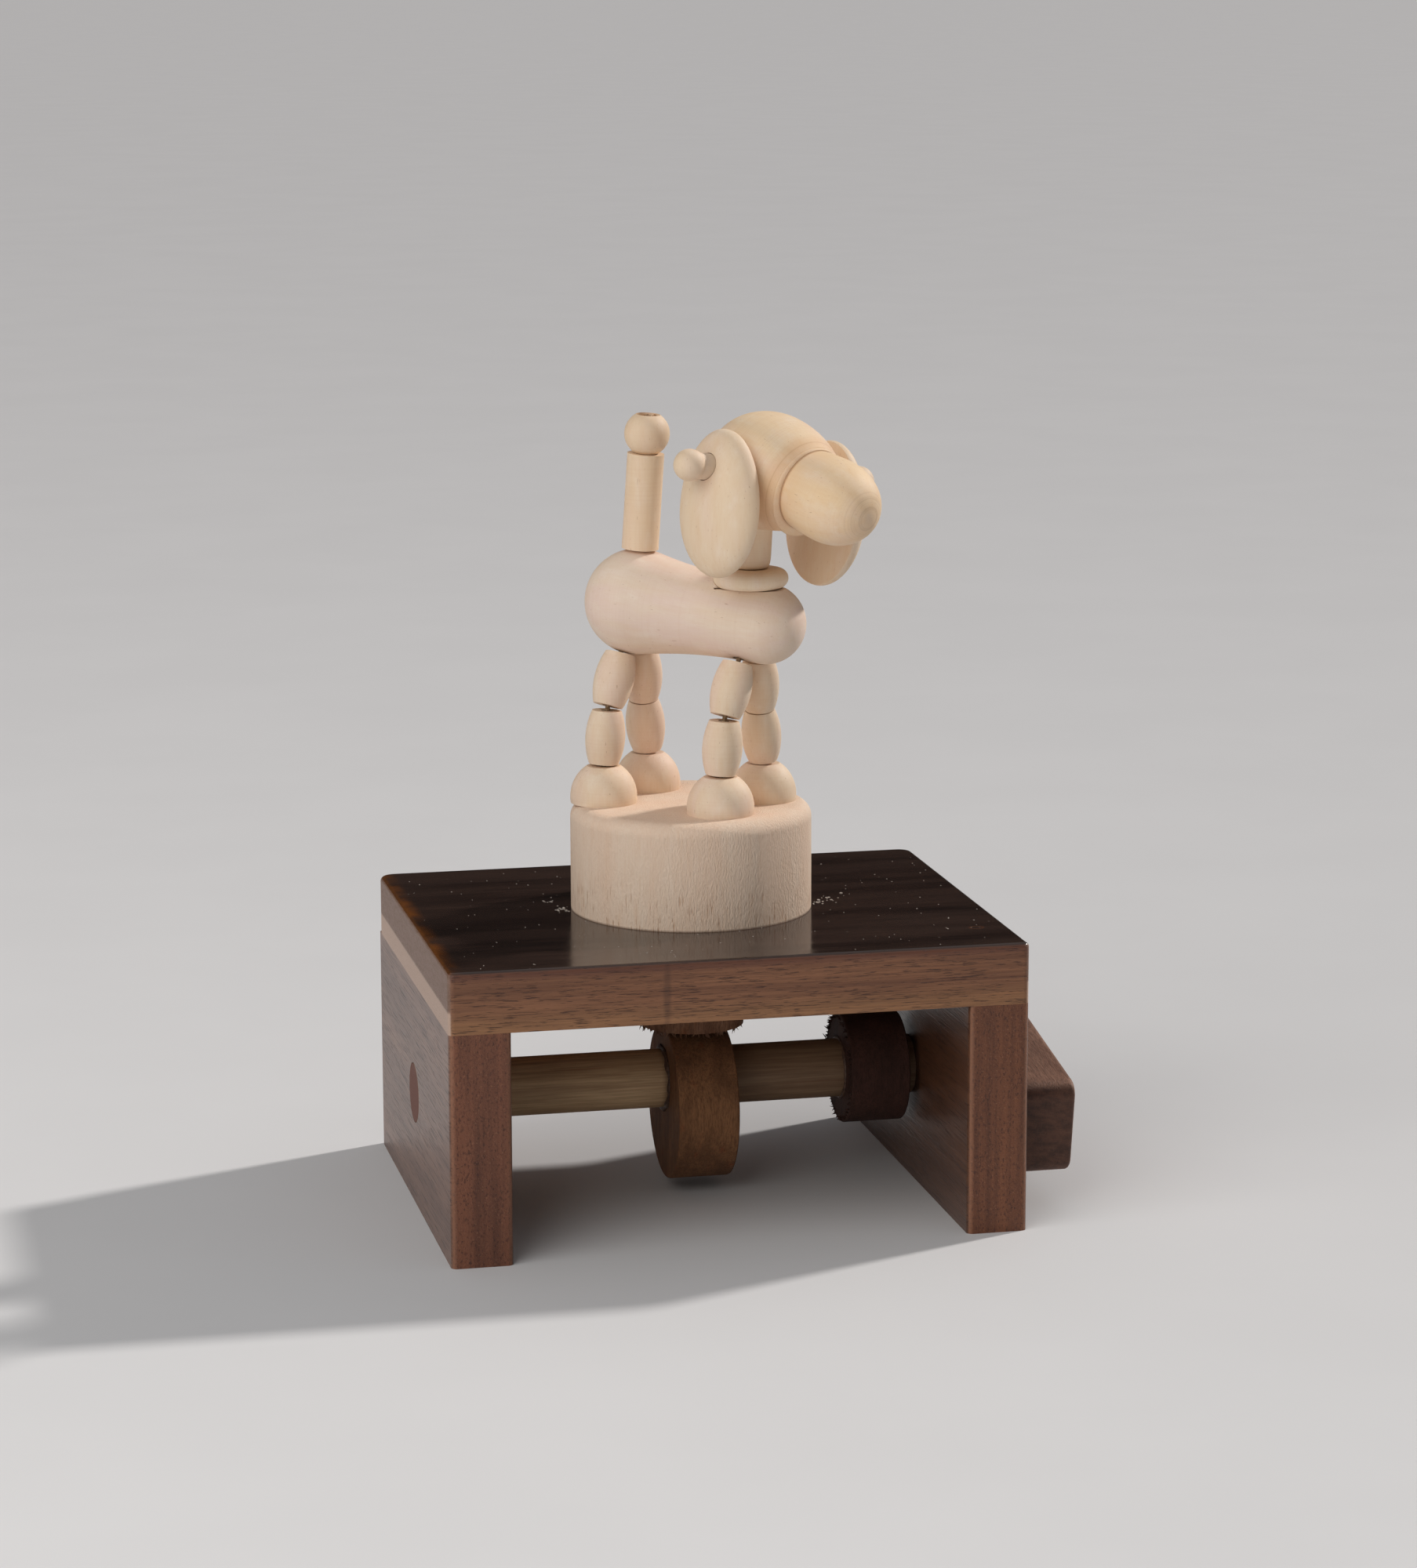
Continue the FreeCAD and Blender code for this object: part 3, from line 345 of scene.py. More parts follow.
def tube(path, radii, sides, ply=0.0, twist=0.0):
    """Rings of points along a path, closed at both ends; ply gives a string its three strands."""
    points = []
    across = (path[1] - path[0]).orthogonal().normalized()
    for i, here in enumerate(path):
        along = (path[min(i + 1, len(path) - 1)] - path[max(i - 1, 0)]).normalized()
        across = (across - along * across.dot(along)).normalized()
        up = along.cross(across)
        for side in range(sides):
            angle = 2 * math.pi * side / sides
            reach = radii[i] * (1 + ply * math.cos(3 * angle - twist * i))
            points.append(here + (across * math.cos(angle) + up * math.sin(angle)) * reach)
    faces = [tuple(reversed(range(sides))), tuple(range(len(points) - sides, len(points)))]
    for ring in range(len(path) - 1):
        for side in range(sides):
            a, b = ring * sides + side, ring * sides + (side + 1) % sides
            faces.append((a, b, b + sides, a + sides))
    return points, faces


def made(name, parts, material, smooth=True):
    """One piece from closed shapes of points and faces, with its points in mm."""
    points, faces = [], []
    for part_points, part_faces in parts:
        faces += [tuple(corner + len(points) for corner in face) for face in part_faces]
        points += [point * MM for point in part_points]
    mesh = bpy.data.meshes.new(name)
    mesh.from_pydata(points, [], faces)
    mesh.materials.append(material)
    mesh.polygons.foreach_set("use_smooth", [smooth] * len(faces))
    piece = bpy.data.objects.new(name, mesh)
    bpy.context.scene.collection.objects.link(piece)
    return piece


def torn_fibres(count, centre, axis, radius, longest, seed):
    """Fibres that stand out of a cut rim: tapered, bent and rooted inside the wood."""
    draw = random.Random(seed)
    side = axis.orthogonal().normalized()
    rooted = 0.3
    parts = []
    for _ in range(count):
        out = Matrix.Rotation(draw.uniform(0, 2 * math.pi), 3, axis) @ side
        bend = out * draw.uniform(-0.15, 0.45) + axis.cross(out) * draw.uniform(-0.7, 0.7)
        length = longest * draw.uniform(0.15, 1) ** 1.7
        thick = draw.uniform(0.07, 0.17)
        root = centre + out * (radius - draw.uniform(0.15, 0.9)) - axis * rooted
        middle = root + axis * (rooted + length * 0.5)
        tip = root + axis * (rooted + length) + bend * length
        parts.append(tube([root, middle, tip], [thick, thick * 0.8, thick * 0.2], sides=5))
    return parts


collar_face = Vector((collar_low.x, 0, SHAFT_Z))
collar_fibres = torn_fibres(210, collar_face, -ALONG_X, radius=9.2, longest=0.8, seed=11)
torn_collar = made("torn_collar_rim", collar_fibres, collar_wood)
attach(torn_collar, "crank")


def wrapped_faces(sections, rows, closed=True):
    """Faces over cross-sections of rows points each, back to the first one or capped at both ends."""
    faces = []
    for section in range(sections if closed else sections - 1):
        here, beyond = section * rows, (section + 1) % sections * rows
        for row in range(rows):
            following = (row + 1) % rows
            faces.append((here + row, beyond + row, beyond + following, here + following))
    if not closed:
        last = (sections - 1) * rows
        faces += [tuple(range(rows)), tuple(range(last, last + rows))[::-1]]
    return faces


GLUE_PROFILE = ((-0.1, -0.25), (0.0, 1.0), (0.42, 0.75), (0.8, 0.3), (1.0, -0.25))


def glue_bead(centre, axis, radius, size, seed):
    """A bead of dried glue where a disc meets the shaft, uneven all the way round."""
    draw = random.Random(seed)
    waves = [(draw.uniform(0, 6.28), k, draw.uniform(0.1, 0.3)) for k in (2, 3, 5, 9)]
    side = axis.orthogonal().normalized()
    points = []
    steps = 72
    for step in range(steps):
        angle = 2 * math.pi * step / steps
        out = Matrix.Rotation(angle, 3, axis) @ side
        swell = size * (1 + sum(share * math.sin(k * angle + start) for start, k, share in waves))
        for along, reach in GLUE_PROFILE:
            points.append(centre + axis * (along * swell) + out * (radius + reach * swell))
    return points, wrapped_faces(steps, len(GLUE_PROFILE))


def dried_glue(tree):
    """Wood glue gone brown with sawdust in it."""
    lumps = grain(tree, GRAIN_ALONG_X, (0.4, 0.4, 0.4), 0.35, 0.7, seed=95)
    return stained(tree, linear("#5f4638"), [(lumps, "#38261e")]), lumps, 0.45


shaft_at_cam = Vector((cam_low.x, 0, SHAFT_Z))
glue_rings = [
    glue_bead(shaft_at_cam, -ALONG_X, SHAFT_RADIUS, size=0.55, seed=12),
    glue_bead(collar_face, -ALONG_X, SHAFT_RADIUS, size=0.4, seed=13),
]
crank_glue = made("crank_glue", glue_rings, finished("dried_brown_glue", dried_glue, 0.05))
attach(crank_glue, "crank")

# The pusher: a hole-sawn plug that slides through the table top on the cam. Its lower rim was torn
# by the saw and still carries loose fibres.

plug_low, plug_high = corners_mm("pusher_plug")
plug_paint = furry_disc("#9b7359", "#5a3b2b", "#82502f", 100)
plug_wood = finished("hole_sawn_plug_wood", plug_paint, 0.1, **rough_surface)
dress(plug_wood, "pusher_plug")
plug_rim = Vector(((plug_low.x + plug_high.x) / 2, (plug_low.y + plug_high.y) / 2, plug_low.z))
DOWN = Vector((0, 0, -1))
plug_fibres = torn_fibres(260, plug_rim, DOWN, radius=8.65, longest=1.15, seed=14)
fringe = made("torn_plug_rim", plug_fibres, plug_wood)
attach(fringe, "pusher")

# The drum: a cup turned in one pale, pinkish piece of birch with its grain upright, left bare. Fine
# upright fibres show all round it, torn out darker near the base, where it is glued to the top.

drum_low, drum_high = corners_mm("drum")


def turned_birch_drum(tree):
    """Bare turned birch: warm streaks, fur that catches low light, and short tears near the base."""
    fibres = grain(tree, GRAIN_UPRIGHT, (4, 0.28, 0.28), 0.35, 0.75, 0.25, seed=110)
    tears = grain(tree, GRAIN_UPRIGHT, (3.0, 0.3, 0.3), 0.57, 0.68, seed=111, detail=2)
    near_base = fade(tree, GRAIN_UPRIGHT, drum_low, 12, 0.5, 0.75)
    torn = add(tree, "Math", {0: tears, 1: near_base}, operation="MULTIPLY")
    colour = stained(tree, linear("#ecd6c2"), [
        (grain(tree, GRAIN_UPRIGHT, (45, 7, 7), 0.35, 0.65, 0.6, seed=112), "#e8cab3"),
        (grain(tree, GRAIN_UPRIGHT, (12, 1.4, 1.4), 0.5, 0.8, 0.3, seed=113), "#dfb692"),
        (fibres, "#d9b18e"),
        (torn, "#b98a66"),
        (fade(tree, GRAIN_UPRIGHT, drum_low, 0.35, 0.05, 0.6), "#7b5c49"),
    ])
    fur = grain(tree, GRAIN_UPRIGHT, (0.8, 0.28, 0.28), 0.3, 0.75, seed=114)
    return colour, add(tree, "Math", {0: fur, 1: torn}, operation="SUBTRACT"), 0.8


drum_wood = finished("bare_turned_birch", turned_birch_drum, 0.07, **rough_surface)
dress(drum_wood, "drum", "push_button")

# Glue squeezed out under the drum dried to white crumbs on the lacquer, and specks of sawdust lie
# on it all over.


def crumb(draw, at, size):
    """A flat, uneven crumb: a ring of points between a low and a high middle."""
    sides = 7
    points = [Vector((at.x, at.y, at.z - 0.02)), Vector((at.x, at.y, at.z + size * 0.5))]
    for side in range(sides):
        angle = 2 * math.pi * side / sides
        reach = size * draw.uniform(0.6, 1.25)
        points.append(at + Vector((math.cos(angle) * reach, math.sin(angle) * reach, size * 0.12)))
    faces = []
    for side in range(sides):
        a, b = 2 + side, 2 + (side + 1) % sides
        faces += [(0, b, a), (1, a, b)]
    return points, faces


def white_glue(tree):
    """Dried white glue: chalky, a little grey."""
    lumps = grain(tree, GRAIN_ALONG_X, (0.2, 0.2, 0.2), 0.35, 0.7, seed=120)
    return stained(tree, linear("#cfc7bf"), [(lumps, "#a89d94")]), lumps, 0.7


CRUMB_HEAPS = (  # x and y of the middle, spread in mm, how many crumbs
    (-27.0, 3.2, 0.9, 16),
    (-27.8, 9.4, 0.6, 8),
    (15.6, -0.7, 1.3, 18),
    (18.9, 1.6, 1.6, 12),
)
DUST_SPECKS = 150
DUST_MARGIN = 1.5
DUST_BACK = 34.5  # the farthest back that sawdust lies
CLEAR_OF_DRUM = 20.3  # how far from the drum's middle the first crumbs lie
draw = random.Random(15)
drum_middle = (drum_low + drum_high) / 2
crumbs = []
for x, y, spread, count in CRUMB_HEAPS:
    for _ in range(count):
        at = Vector((draw.gauss(x, spread), draw.gauss(y, spread), top_high.z))
        if (at - drum_middle).xy.length > CLEAR_OF_DRUM:
            crumbs.append(crumb(draw, at, draw.uniform(0.1, 0.3)))
for _ in range(DUST_SPECKS):
    x = draw.uniform(top_low.x + DUST_MARGIN, top_high.x - DUST_MARGIN)
    y = draw.uniform(top_low.y + DUST_MARGIN, DUST_BACK)
    at = Vector((x, y, top_high.z))
    if (at - drum_middle).xy.length > CLEAR_OF_DRUM:
        crumbs.append(crumb(draw, at, draw.uniform(0.07, 0.14)))
chalky_glue = finished("dried_white_glue", white_glue, 0.02)
glue_crumbs = made("glue_crumbs", crumbs, chalky_glue, smooth=False)
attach(glue_crumbs, "stand")

# The return spring and the four strings inside the drum, between the drum's ceiling and the button;
# in the toy they shorten when the button rises, and here they are drawn at one length. The spring is
# drawn steel wire, the strings waxed cotton.
# All four strings are one CAD piece, so their ends are told apart by corner and by height.

button_high = corners_mm("push_button")[1]
spring_low, spring_high = corners_mm("return_spring")
WIRE = 0.7
TURNS = 3
coil_radius = (spring_high.x - spring_low.x - WIRE) / 2
steps = 48 * TURNS
coil = []
for step in range(steps + 1):
    angle = 2 * math.pi * TURNS * step / steps
    x = drum_middle.x + coil_radius * math.cos(angle)
    y = drum_middle.y + coil_radius * math.sin(angle)
    z = spring_low.z + WIRE / 2 + (spring_high.z - spring_low.z - WIRE) * step / steps
    coil.append(Vector((x, y, z)))


def drawn_wire(tree):
    """Drawn steel wire: bright, with fine die marks."""
    marks = grain(tree, GRAIN_UPRIGHT, (0.4, 0.4, 0.4), 0.35, 0.7, seed=130)
    return stained(tree, linear("#b6b6b3"), [(marks, "#91918e")]), marks, 0.35


spring_steel = finished("drawn_steel_wire", drawn_wire, 0.01, Metallic=1.0)
spring = made("spring_coil", [tube(coil, [WIRE / 2] * len(coil), sides=12)], spring_steel)
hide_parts("return_spring")
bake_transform(spring)


def waxed_cotton(tree):
    """Waxed thread of three twisted strands, gone brown in the dusty holes."""
    strands = grain(tree, GRAIN_UPRIGHT, (0.3, 0.3, 0.3), 0.35, 0.7, seed=131)
    return stained(tree, linear("#a58a6b"), [(strands, "#775c43")]), strands, 0.8


cotton = finished("waxed_cotton", waxed_cotton, 0.04)
dress(cotton, *[name for name in frame["nodes"] if "string" in name])
STRING = 0.8


def string(start, end):
    """A length of twisted string between two points."""
    rings = max(4, round((end - start).length / 0.25))
    path = [start.lerp(end, i / rings) for i in range(rings + 1)]
    return tube(path, [STRING / 2] * len(path), sides=12, ply=0.08, twist=0.9)


strand_ends = {}
for point in (v.co / MM for v in frame["nodes"]["drum_strings"].data.vertices):
    level = "high" if point.z > (button_high.z + spring_high.z) / 2 else "low"
    corner = (point.x > drum_middle.x, point.y > drum_middle.y)
    strand_ends.setdefault((corner, level), []).append(point)
middles = {key: sum(points, Vector()) / len(points) for key, points in strand_ends.items()}
strands = []
for (corner, level), low in middles.items():
    if level == "low":
        strands.append(string(low, middles[(corner, "high")]))
drum_strings = made("strings_in_drum", strands, cotton)
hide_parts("drum_strings")
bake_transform(drum_strings)

# The feet and leg beads: domes glued to the drum and two barrel beads for each leg, turned from
# bare birch and drilled for the string that alone holds them up. Their grain stands upright.


def bare_birch(turn, light, warm, pink, seed, rings=0.08):
    """Paint for one turned piece: close grain along its turning axis, with faint lathe rings."""

    def paint(tree):
        fibres = grain(tree, turn, (5, 0.28, 0.28), 0.35, 0.75, 0.2, seed=seed)
        turning = grain(tree, turn, (0.32, 60, 60), 0.4, 0.7, rings, seed=seed + 1)
        pores = grain(tree, turn, (1.6, 0.2, 0.2), 0.70, 0.76, 0.55, seed=seed + 2, detail=1)
        colour = stained(tree, linear(light), [
            (grain(tree, turn, (30, 7, 7), 0.4, 0.65, 0.8, seed=seed + 3), pink),
            (grain(tree, turn, (4, 2.4, 2.4), 0.45, 0.75, 0.35, seed=seed + 5), "#f4e6d6"),
            (grain(tree, turn, (26, 2.2, 2.2), 0.4, 0.8, 0.4, seed=seed + 4), warm),
            (fibres, warm),
            (turning, "#cfa27c"),
            (pores, "#a3704a"),
        ])
        return colour, add(tree, "Math", {0: fibres, 1: turning}, operation="SUBTRACT"), 0.62

    return paint


bead_paint = bare_birch(GRAIN_UPRIGHT, "#ead3b8", "#e0bd97", "#ebd0be", 140)
bead_birch = finished("turned_birch_beads", bead_paint, 0.03)
LEGS = [(end, side) for end in ("rear", "front") for side in ("near", "far")]
for end, side in LEGS:
    leg = f"{end}_{side}"
    dress(bead_birch, f"{leg}_foot", f"{leg}_lower_leg", f"{leg}_upper_leg")


def string_ends(node_name):
    """The middles of a straight string's lower and upper ends."""
    points = [v.co / MM for v in frame["nodes"][node_name].data.vertices]
    half_way = (min(p.z for p in points) + max(p.z for p in points)) / 2
    low = [p for p in points if p.z < half_way]
    high = [p for p in points if p.z >= half_way]
    return sum(low, Vector()) / len(low), sum(high, Vector()) / len(high)


def bridge(name, start, end):
    """The bit of string between two pieces, drawn straight and running 0.6 mm past both ends."""
    way = (end - start).normalized()
    piece = made(name, [string(start - way * 0.6, end + way * 0.6)], cotton)
    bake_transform(piece)


foot_top = corners_mm("rear_near_foot")[1].z
JOINT_GAP = 0.1
for end, side in LEGS:
    leg = f"{end}_{side}"
    ankle, below_knee = string_ends(f"{leg}_lower_leg_string")
    above_knee, hip = string_ends(f"{leg}_upper_leg_string")
    bridge(f"{leg}_ankle_string", Vector((ankle.x, ankle.y, foot_top)), ankle)
    bridge(f"{leg}_knee_string", below_knee, above_knee)
    if leg == "rear_near":
        into_torso = hip + (hip - above_knee).normalized() * JOINT_GAP
        bridge(f"{leg}_hip_string", hip, into_torso)

# The torso: a peanut turned along the dog's length and drilled where the strings go in. It is bare
# birch, a little pinker and smoother than the beads, with sparse brown pores.

forward = sum(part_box("front_near_foot"), Vector()) - sum(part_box("rear_near_foot"), Vector())
DOG_YAW = math.atan2(forward.y, forward.x)
TORSO_PITCH = math.radians(5.0)
GRAIN_ALONG_DOG = (0, TORSO_PITCH, DOG_YAW)
torso_paint = bare_birch(GRAIN_ALONG_DOG, "#ecd8c4", "#e3c5a6", "#ead0c4", 160, rings=0.06)
torso_birch = finished("turned_birch_torso", torso_paint, 0.03)
dress(torso_birch, "torso")

# The back of the neck's hollow: torso wood left standing round the lower edge of the neck ring.
# It follows the torso's back inwards from the milled wall and stays just clear of the ring.

ring_low, ring_high = corners_mm("neck_ring")
ring_half = (ring_high.z - ring_low.z) / 2
ring_radius = (ring_high.x - ring_low.x) / 2
ring_middle = (ring_low + ring_high) / 2
HOLLOW_RADIUS = ring_radius + 0.09
RING_CLEARANCE = 0.05
LOWEST = -0.96 * ring_half  # heights here are measured from the ring's middle
PROBES = (0.06, 0.8)  # how far outside the hollow the back's height is taken, near and far
torso_mesh = frame["nodes"]["torso"].data
torso_points = [vertex.co / MM for vertex in torso_mesh.vertices]
torso_skin = BVHTree.FromPolygons(torso_points, [face.vertices for face in torso_mesh.polygons])


def back_height(out, radius):
    """Height of the torso's upper face at a distance from the neck's axis, or nothing."""
    found = torso_skin.ray_cast(ring_middle + out * radius - DOWN * 20, DOWN)[0]
    return None if found is None else found.z - ring_middle.z


def beside_ring(height):
    """Distance from the neck's axis that just clears the ring at a height from its middle."""
    return ring_radius - ring_half + math.sqrt(ring_half ** 2 - height ** 2) + RING_CLEARANCE


lip_sections = []
for step in range(-26, 27):
    angle = math.pi + DOG_YAW + math.radians(step * 2)
    out = Vector((math.cos(angle), math.sin(angle), 0))
    top, beyond = (back_height(out, HOLLOW_RADIUS + probe) for probe in PROBES)
    if top is None or beyond is None or top < LOWEST + 0.1:
        continue
    slope = (top - beyond) / (PROBES[1] - PROBES[0])
    inner_top = top + slope * (HOLLOW_RADIUS - beside_ring(top))
    inner_top = min(max(inner_top, top - 0.1), ring_half * 0.9)
    half_way = (inner_top + LOWEST) / 2
    inner = [(beside_ring(height), height) for height in (inner_top, half_way, LOWEST)]
    profile = [(HOLLOW_RADIUS, LOWEST), (HOLLOW_RADIUS, top)] + inner
    lip_sections.append([ring_middle + out * radius - DOWN * height for radius, height in profile])
lip_points = [point for section in lip_sections for point in section]
lip_faces = wrapped_faces(len(lip_sections), len(lip_sections[0]), closed=False)
neck_hollow_back = made("neck_hollow_back", [(lip_points, lip_faces)], torso_birch)
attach(neck_hollow_back, "torso")

# The neck: a flat bead, and on it a taper turned narrower below and rounded into its foot. Its
# upper edge splintered when it was cut off and was left so.

neck_low, neck_high = corners_mm("neck")
neck_paint = bare_birch(GRAIN_UPRIGHT, "#f1dcc0", "#e8c7a0", "#efd5be", 180)
neck_birch = finished("turned_birch_neck", neck_paint, 0.03)
dress(neck_birch, "neck_ring")
neck_axis = Vector(((neck_low.x + neck_high.x) / 2, (neck_low.y + neck_high.y) / 2, neck_low.z))
NECK_BORE = 1.0
NECK_PROFILE = (
    (NECK_BORE, 0.0), (2.35, 0.0), (2.72, 0.12), (2.98, 0.4), (3.14, 0.8), (3.24, 1.4),
    (3.32, 2.2), (3.38, 3.2), (3.44, 4.4), (3.5, 5.6), (3.56, 6.6), (3.6, 7.1),
    (3.58, 7.36), (3.42, 7.5), (NECK_BORE, 7.5),
)
LIP_HEIGHT = 7.05
LIP_HALF = 0.45
TORN_AT = math.radians(-22)
TORN_WIDTH = 0.3
TORN_REACH = 4.2
NECK_SIDES = 96
neck_points = []
for side in range(NECK_SIDES):
    angle = 2 * math.pi * side / NECK_SIDES
    near_tear = math.exp(-((math.remainder(angle - TORN_AT, 2 * math.pi)) / TORN_WIDTH) ** 2)
    teeth = 1.6 + math.sin(angle * 23) + math.sin(angle * 37 + 1)
    for radius, height in NECK_PROFILE:
        lip = max(0.0, 1 - abs(height - LIP_HEIGHT) / LIP_HALF)
        ragged = (0.05 + 0.17 * near_tear) * lip * teeth
        if radius > NECK_BORE:
            radius = min(radius + ragged, TORN_REACH)
        round_neck = Vector((math.cos(angle) * radius, math.sin(angle) * radius, height))
        neck_points.append(neck_axis + round_neck)
neck_faces = wrapped_faces(NECK_SIDES, len(NECK_PROFILE))
turned_neck = made("turned_neck", [(neck_points, neck_faces)], neck_birch)
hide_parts("neck")
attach(turned_neck, "neck")

throat = string_ends("neck_string")[0]
bridge("neck_root_string", throat + DOWN * JOINT_GAP, throat)

# The head: an egg for the cranium and a smaller one glued on as the muzzle. Turning scorched a thin
# dark seam between them, with an orange flush, and left rings round the tip of the muzzle.

HEAD_TURN = math.radians(20.2)
HEAD_PITCH = math.radians(14.7)
CRANIUM_CUT = 8.9
MUZZLE_RISE = 0.6
NOSE_REACH = 14.4
GRAIN_ALONG_HEAD = (0, HEAD_PITCH, DOG_YAW - HEAD_TURN)
joints = {joint["name"]: joint for joint in frame["joints"]}
cranium_middle = Vector(joints["near_ear_swing"]["pos_m"]) / MM
head_turned = Matrix.Rotation(GRAIN_ALONG_HEAD[2], 3, "Z") @ Matrix.Rotation(HEAD_PITCH, 3, "Y")
head_way = head_turned @ ALONG_X
seam = cranium_middle + head_way * CRANIUM_CUT
head_up = head_turned @ Vector((0, 0, 1))
muzzle_foot = seam + head_up * MUZZLE_RISE
muzzle_tip = muzzle_foot + head_way * NOSE_REACH


def scorched_birch(paint_wood, extra=None):
    """Bare birch with the scorch at the glued seam laid over it."""

    def paint(tree):
        wood, relief, roughness = paint_wood(tree)
        turn = GRAIN_ALONG_HEAD
        line_at = muzzle_foot + head_way * 0.75
        layers = [
            (spot(tree, turn, seam - head_way * 0.8, (2.4, 40, 40), 0.1, 0.4), "#dda872"),
            (spot(tree, turn, seam - head_way * 1.0, (0.16, 40, 40), 0.3, 0.22), "#b57f52"),
            (spot(tree, turn, line_at, (0.85, 6.95, 6.95), 0.93, 0.7), "#8a5836"),
        ]
        layers += extra(tree) if extra else []
        return stained(tree, wood, layers), relief, roughness

    return paint


def muzzle_rings_and_tip_shade(tree):
    """Lathe rings at the tip, a painted shade that greys and darkens the middle of the tip, and a
    warmer back.
    """
    rings = grain(tree, GRAIN_ALONG_HEAD, (0.22, 60, 60), 0.45, 0.65, seed=201, detail=1)
    at_tip = spot(tree, GRAIN_ALONG_HEAD, muzzle_tip, (6.5, 6.5, 6.5), 0.2, 0.3)
    return [
        (fade(tree, GRAIN_ALONG_HEAD, seam, 6.5, 0.5, 0.2), "#e5b988"),
        (add(tree, "Math", {0: rings, 1: at_tip}, operation="MULTIPLY"), "#a9805f"),
        # painted shade: a greyer, darker spot over the middle of the muzzle's tip
        (spot(tree, GRAIN_ALONG_HEAD, muzzle_tip, (5.0, 6.0, 6.0), 0.0, 0.3), "#b79b84"),
    ]


cranium_paint = bare_birch(GRAIN_ALONG_HEAD, "#efd5b2", "#e5bd90", "#efd2b8", 200, rings=0.16)
muzzle_paint = bare_birch(GRAIN_ALONG_HEAD, "#f0d3ad", "#e6bd8c", "#efd3b8", 220, rings=0.08)
cranium_birch = finished("turned_birch_cranium", scorched_birch(cranium_paint), 0.03)
dress(cranium_birch, "cranium")
dress(finished("turned_birch_muzzle", scorched_birch(muzzle_paint, muzzle_rings_and_tip_shade), 0.03), "muzzle")

# The cranium's front edge is rounded over down to the foot of the muzzle. It is drawn as a ring
# of the same wood, which stands on the flat front of the cranium.

CRANIUM_EDGE = 7.55
MUZZLE_FOOT = 6.55
BEVEL_SIDES = 120
BEVEL_STEPS = 7
BEVEL_RISE = 0.62
bevel_points = []
for side in range(BEVEL_SIDES):
    angle = 2 * math.pi * side / BEVEL_SIDES
    out = head_turned @ Vector((0, math.cos(angle), math.sin(angle)))
    outer = seam + out * CRANIUM_EDGE
    inner = muzzle_foot + out * MUZZLE_FOOT
    for step in range(BEVEL_STEPS):
        share = step / (BEVEL_STEPS - 1)
        ahead = BEVEL_RISE * math.sin(share * math.pi / 2) - 0.02
        bevel_points.append(outer.lerp(inner, share ** 1.6) + head_way * ahead)
    bevel_points.append(inner - out * 0.3 + head_way * 0.3)
    bevel_points.append(outer - out * 0.25 - head_way * 0.15)
bevel_faces = wrapped_faces(BEVEL_SIDES, BEVEL_STEPS + 2)
bevel = made("cranium_front_bevel", [(bevel_points, bevel_faces)], cranium_birch)
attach(bevel, "head")

# The ears: flat-backed ovals of bare birch, sanded to a dome. Each swings on a peg with a round
# head, which is glued into the cranium.

ear_paint = bare_birch(GRAIN_UPRIGHT, "#ead2b5", "#e0bc93", "#ead0ba", 240, rings=0.0)
ear_birch = finished("shaped_birch_ears", ear_paint, 0.03)
dress(ear_birch, "near_ear", "far_ear", "near_ear_peg", "far_ear_peg")

# The tail: a length of dowel and a drilled ball on the string that comes up through the rump. The
# string's knot is pulled down into the ball, and its frayed end and some sawdust show in the hole.

tail_paint = bare_birch(GRAIN_UPRIGHT, "#ead1b3", "#e1bd94", "#ecd0ba", 260)
dress(finished("turned_birch_tail", tail_paint, 0.03), "tail_rod", "tail_ball")
tail_root = string_ends("tail_string")[0]
bridge("tail_root_string", tail_root + DOWN * JOINT_GAP, tail_root)

knot_high = corners_mm("tail_string")[1].z
knot_points = [v.co / MM for v in frame["nodes"]["tail_string"].data.vertices]
knot_cap = [point for point in knot_points if point.z > knot_high - 0.4]
knot_top = sum(knot_cap, Vector()) / len(knot_cap)
tail_way = (knot_top - tail_root).normalized()
frayed_from = knot_top - tail_way * 0.1
frayed_fibres = torn_fibres(16, frayed_from, tail_way, radius=0.75, longest=1.1, seed=16)
frayed_end = made("frayed_tail_string", frayed_fibres, cotton)
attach(frayed_end, "tail")

HOLE_CRUMBS = 22
draw = random.Random(17)
ball_high = corners_mm("tail_ball")[1].z
tail_side = tail_way.orthogonal().normalized()
hole_crumbs = []
for _ in range(HOLE_CRUMBS):
    around = Matrix.Rotation(draw.uniform(0, 2 * math.pi), 3, tail_way) @ tail_side
    lip = knot_top + tail_way * (ball_high - knot_top.z - draw.uniform(0.35, 0.9))
    hole_crumbs.append(crumb(draw, lip + around * draw.uniform(1.6, 1.9), draw.uniform(0.15, 0.35)))


def birch_sawdust(tree):
    """Sawdust pressed together in the hole: orange brown and rough."""
    lumps = grain(tree, GRAIN_ALONG_X, (0.3, 0.3, 0.3), 0.35, 0.7, seed=270)
    return stained(tree, linear("#d9a97a"), [(lumps, "#a8764c")]), lumps, 0.85


sawdust = finished("birch_sawdust", birch_sawdust, 0.04)
tail_crumbs = made("tail_hole_crumbs", hole_crumbs, sawdust)
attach(tail_crumbs, "tail")

# The studio: a plain pale floor under soft light from overhead, with a harder light from the right
# and behind, and a weak large one from the front left.

FLOOR_HALF = 40.0  # metres
LIT_POINT = Vector((0, 0, 0.06))
RIGHT_AND_BEHIND = (0.778, 0.304, 0.55)
FRONT_LEFT = (-0.68, -0.55, 0.48)


def painted_floor(tree):
    """Matt white paint, very slightly uneven."""
    uneven = grain(tree, GRAIN_ALONG_X, (60, 60, 60), 0.3, 0.7, seed=280)
    return stained(tree, linear("#dadadc"), [(uneven, "#d8d8da")]), uneven, 0.6


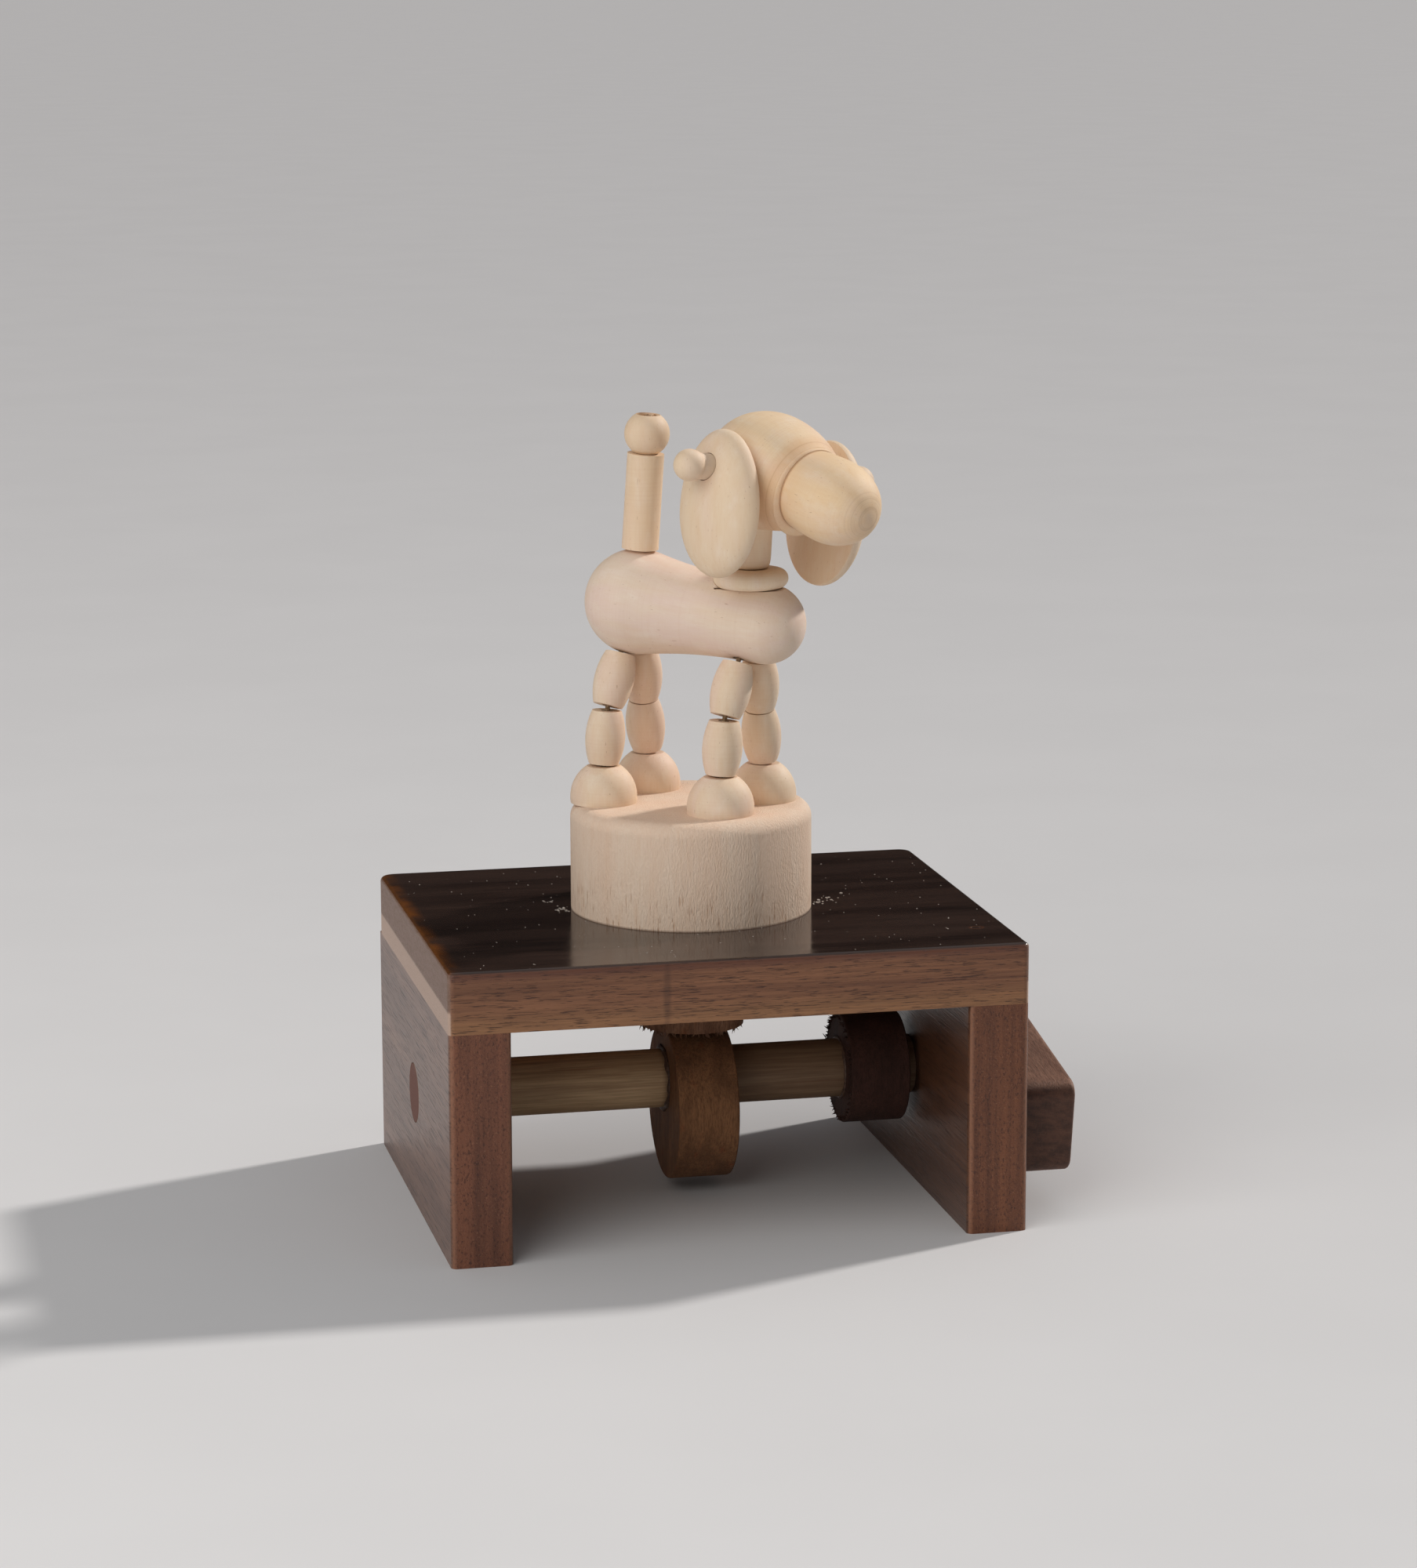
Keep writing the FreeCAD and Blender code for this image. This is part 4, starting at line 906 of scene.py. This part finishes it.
signs = ((-1, -1), (1, -1), (1, 1), (-1, 1))
floor_corners = [Vector((x, y, 0)) * FLOOR_HALF / MM for x, y in signs]
floor_paint = finished("matt_white_paint", painted_floor, 0.0, **{"Specular IOR Level": 0.2})
made("floor", [(floor_corners, [(0, 1, 2, 3)])], floor_paint, smooth=False)


def lamp(name, kind, way, distance, energy, colour, **settings):
    """A lamp that shines on the toy's middle from a direction and a distance in metres."""
    data = bpy.data.lights.new(name, kind)
    data.energy = energy
    data.color = linear(colour)[:3]
    for setting, value in settings.items():
        setattr(data, setting, value)
    holder = bpy.data.objects.new(name, data)
    holder.location = LIT_POINT + Vector(way).normalized() * distance
    holder.rotation_euler = Vector(way).to_track_quat("Z", "Y").to_euler()
    bpy.context.scene.collection.objects.link(holder)


lamp("key_lamp", "SUN", RIGHT_AND_BEHIND, 2.0, energy=2.5, colour="#fffaf4", angle=math.radians(4))
lamp("left_lamp", "AREA", FRONT_LEFT, 1.1, energy=7.2, colour="#fffdf8", shape="DISK", size=1.2)

world = bpy.data.worlds.new("overhead_softbox")
world.use_nodes = True
sky = world.node_tree
sky.nodes.clear()
way = add(sky, "TexCoord").node.outputs["Generated"]
height = add(sky, "SeparateXYZ", {0: way}).node.outputs["Z"]
overhead = {"Value": height, "From Min": 0.3, "From Max": 0.9, "To Min": 0.008, "To Max": 0.42}
glow = add(sky, "MapRange", overhead, interpolation_type="SMOOTHSTEP")
softbox = add(sky, "Background", {"Color": linear("#fdfdff"), "Strength": glow})
add(sky, "OutputWorld", {"Surface": softbox})
bpy.context.scene.world = world
bpy.context.scene.view_settings.view_transform = "Standard"

# The camera: it stands to the left of the front and a little above the dog, as in the photograph.

LOOK_AT = Vector((-2.49, 0.0, 68.74)) * MM
CAMERA_DISTANCE = 720.16 * MM
CAMERA_AZIMUTH = math.radians(-12.47)
CAMERA_HEIGHT = math.radians(11.2)
CAMERA_ROLL = math.radians(-0.13)
camera_data = bpy.data.cameras.new("camera")
camera_data.lens = 99.86
camera_data.sensor_width = 36.0
camera_data.sensor_fit = "AUTO"
camera_data.clip_start = 0.05
camera = bpy.data.objects.new("camera", camera_data)
level = math.cos(CAMERA_HEIGHT)
sideways, forwards = math.sin(CAMERA_AZIMUTH) * level, -math.cos(CAMERA_AZIMUTH) * level
from_toy = Vector((sideways, forwards, math.sin(CAMERA_HEIGHT)))
camera.location = LOOK_AT + from_toy * CAMERA_DISTANCE
aimed = (-from_toy).to_track_quat("-Z", "Y").to_matrix()
camera.rotation_euler = (aimed @ Matrix.Rotation(CAMERA_ROLL, 3, "Z")).to_euler()
bpy.context.scene.collection.objects.link(camera)
bpy.context.scene.camera = camera
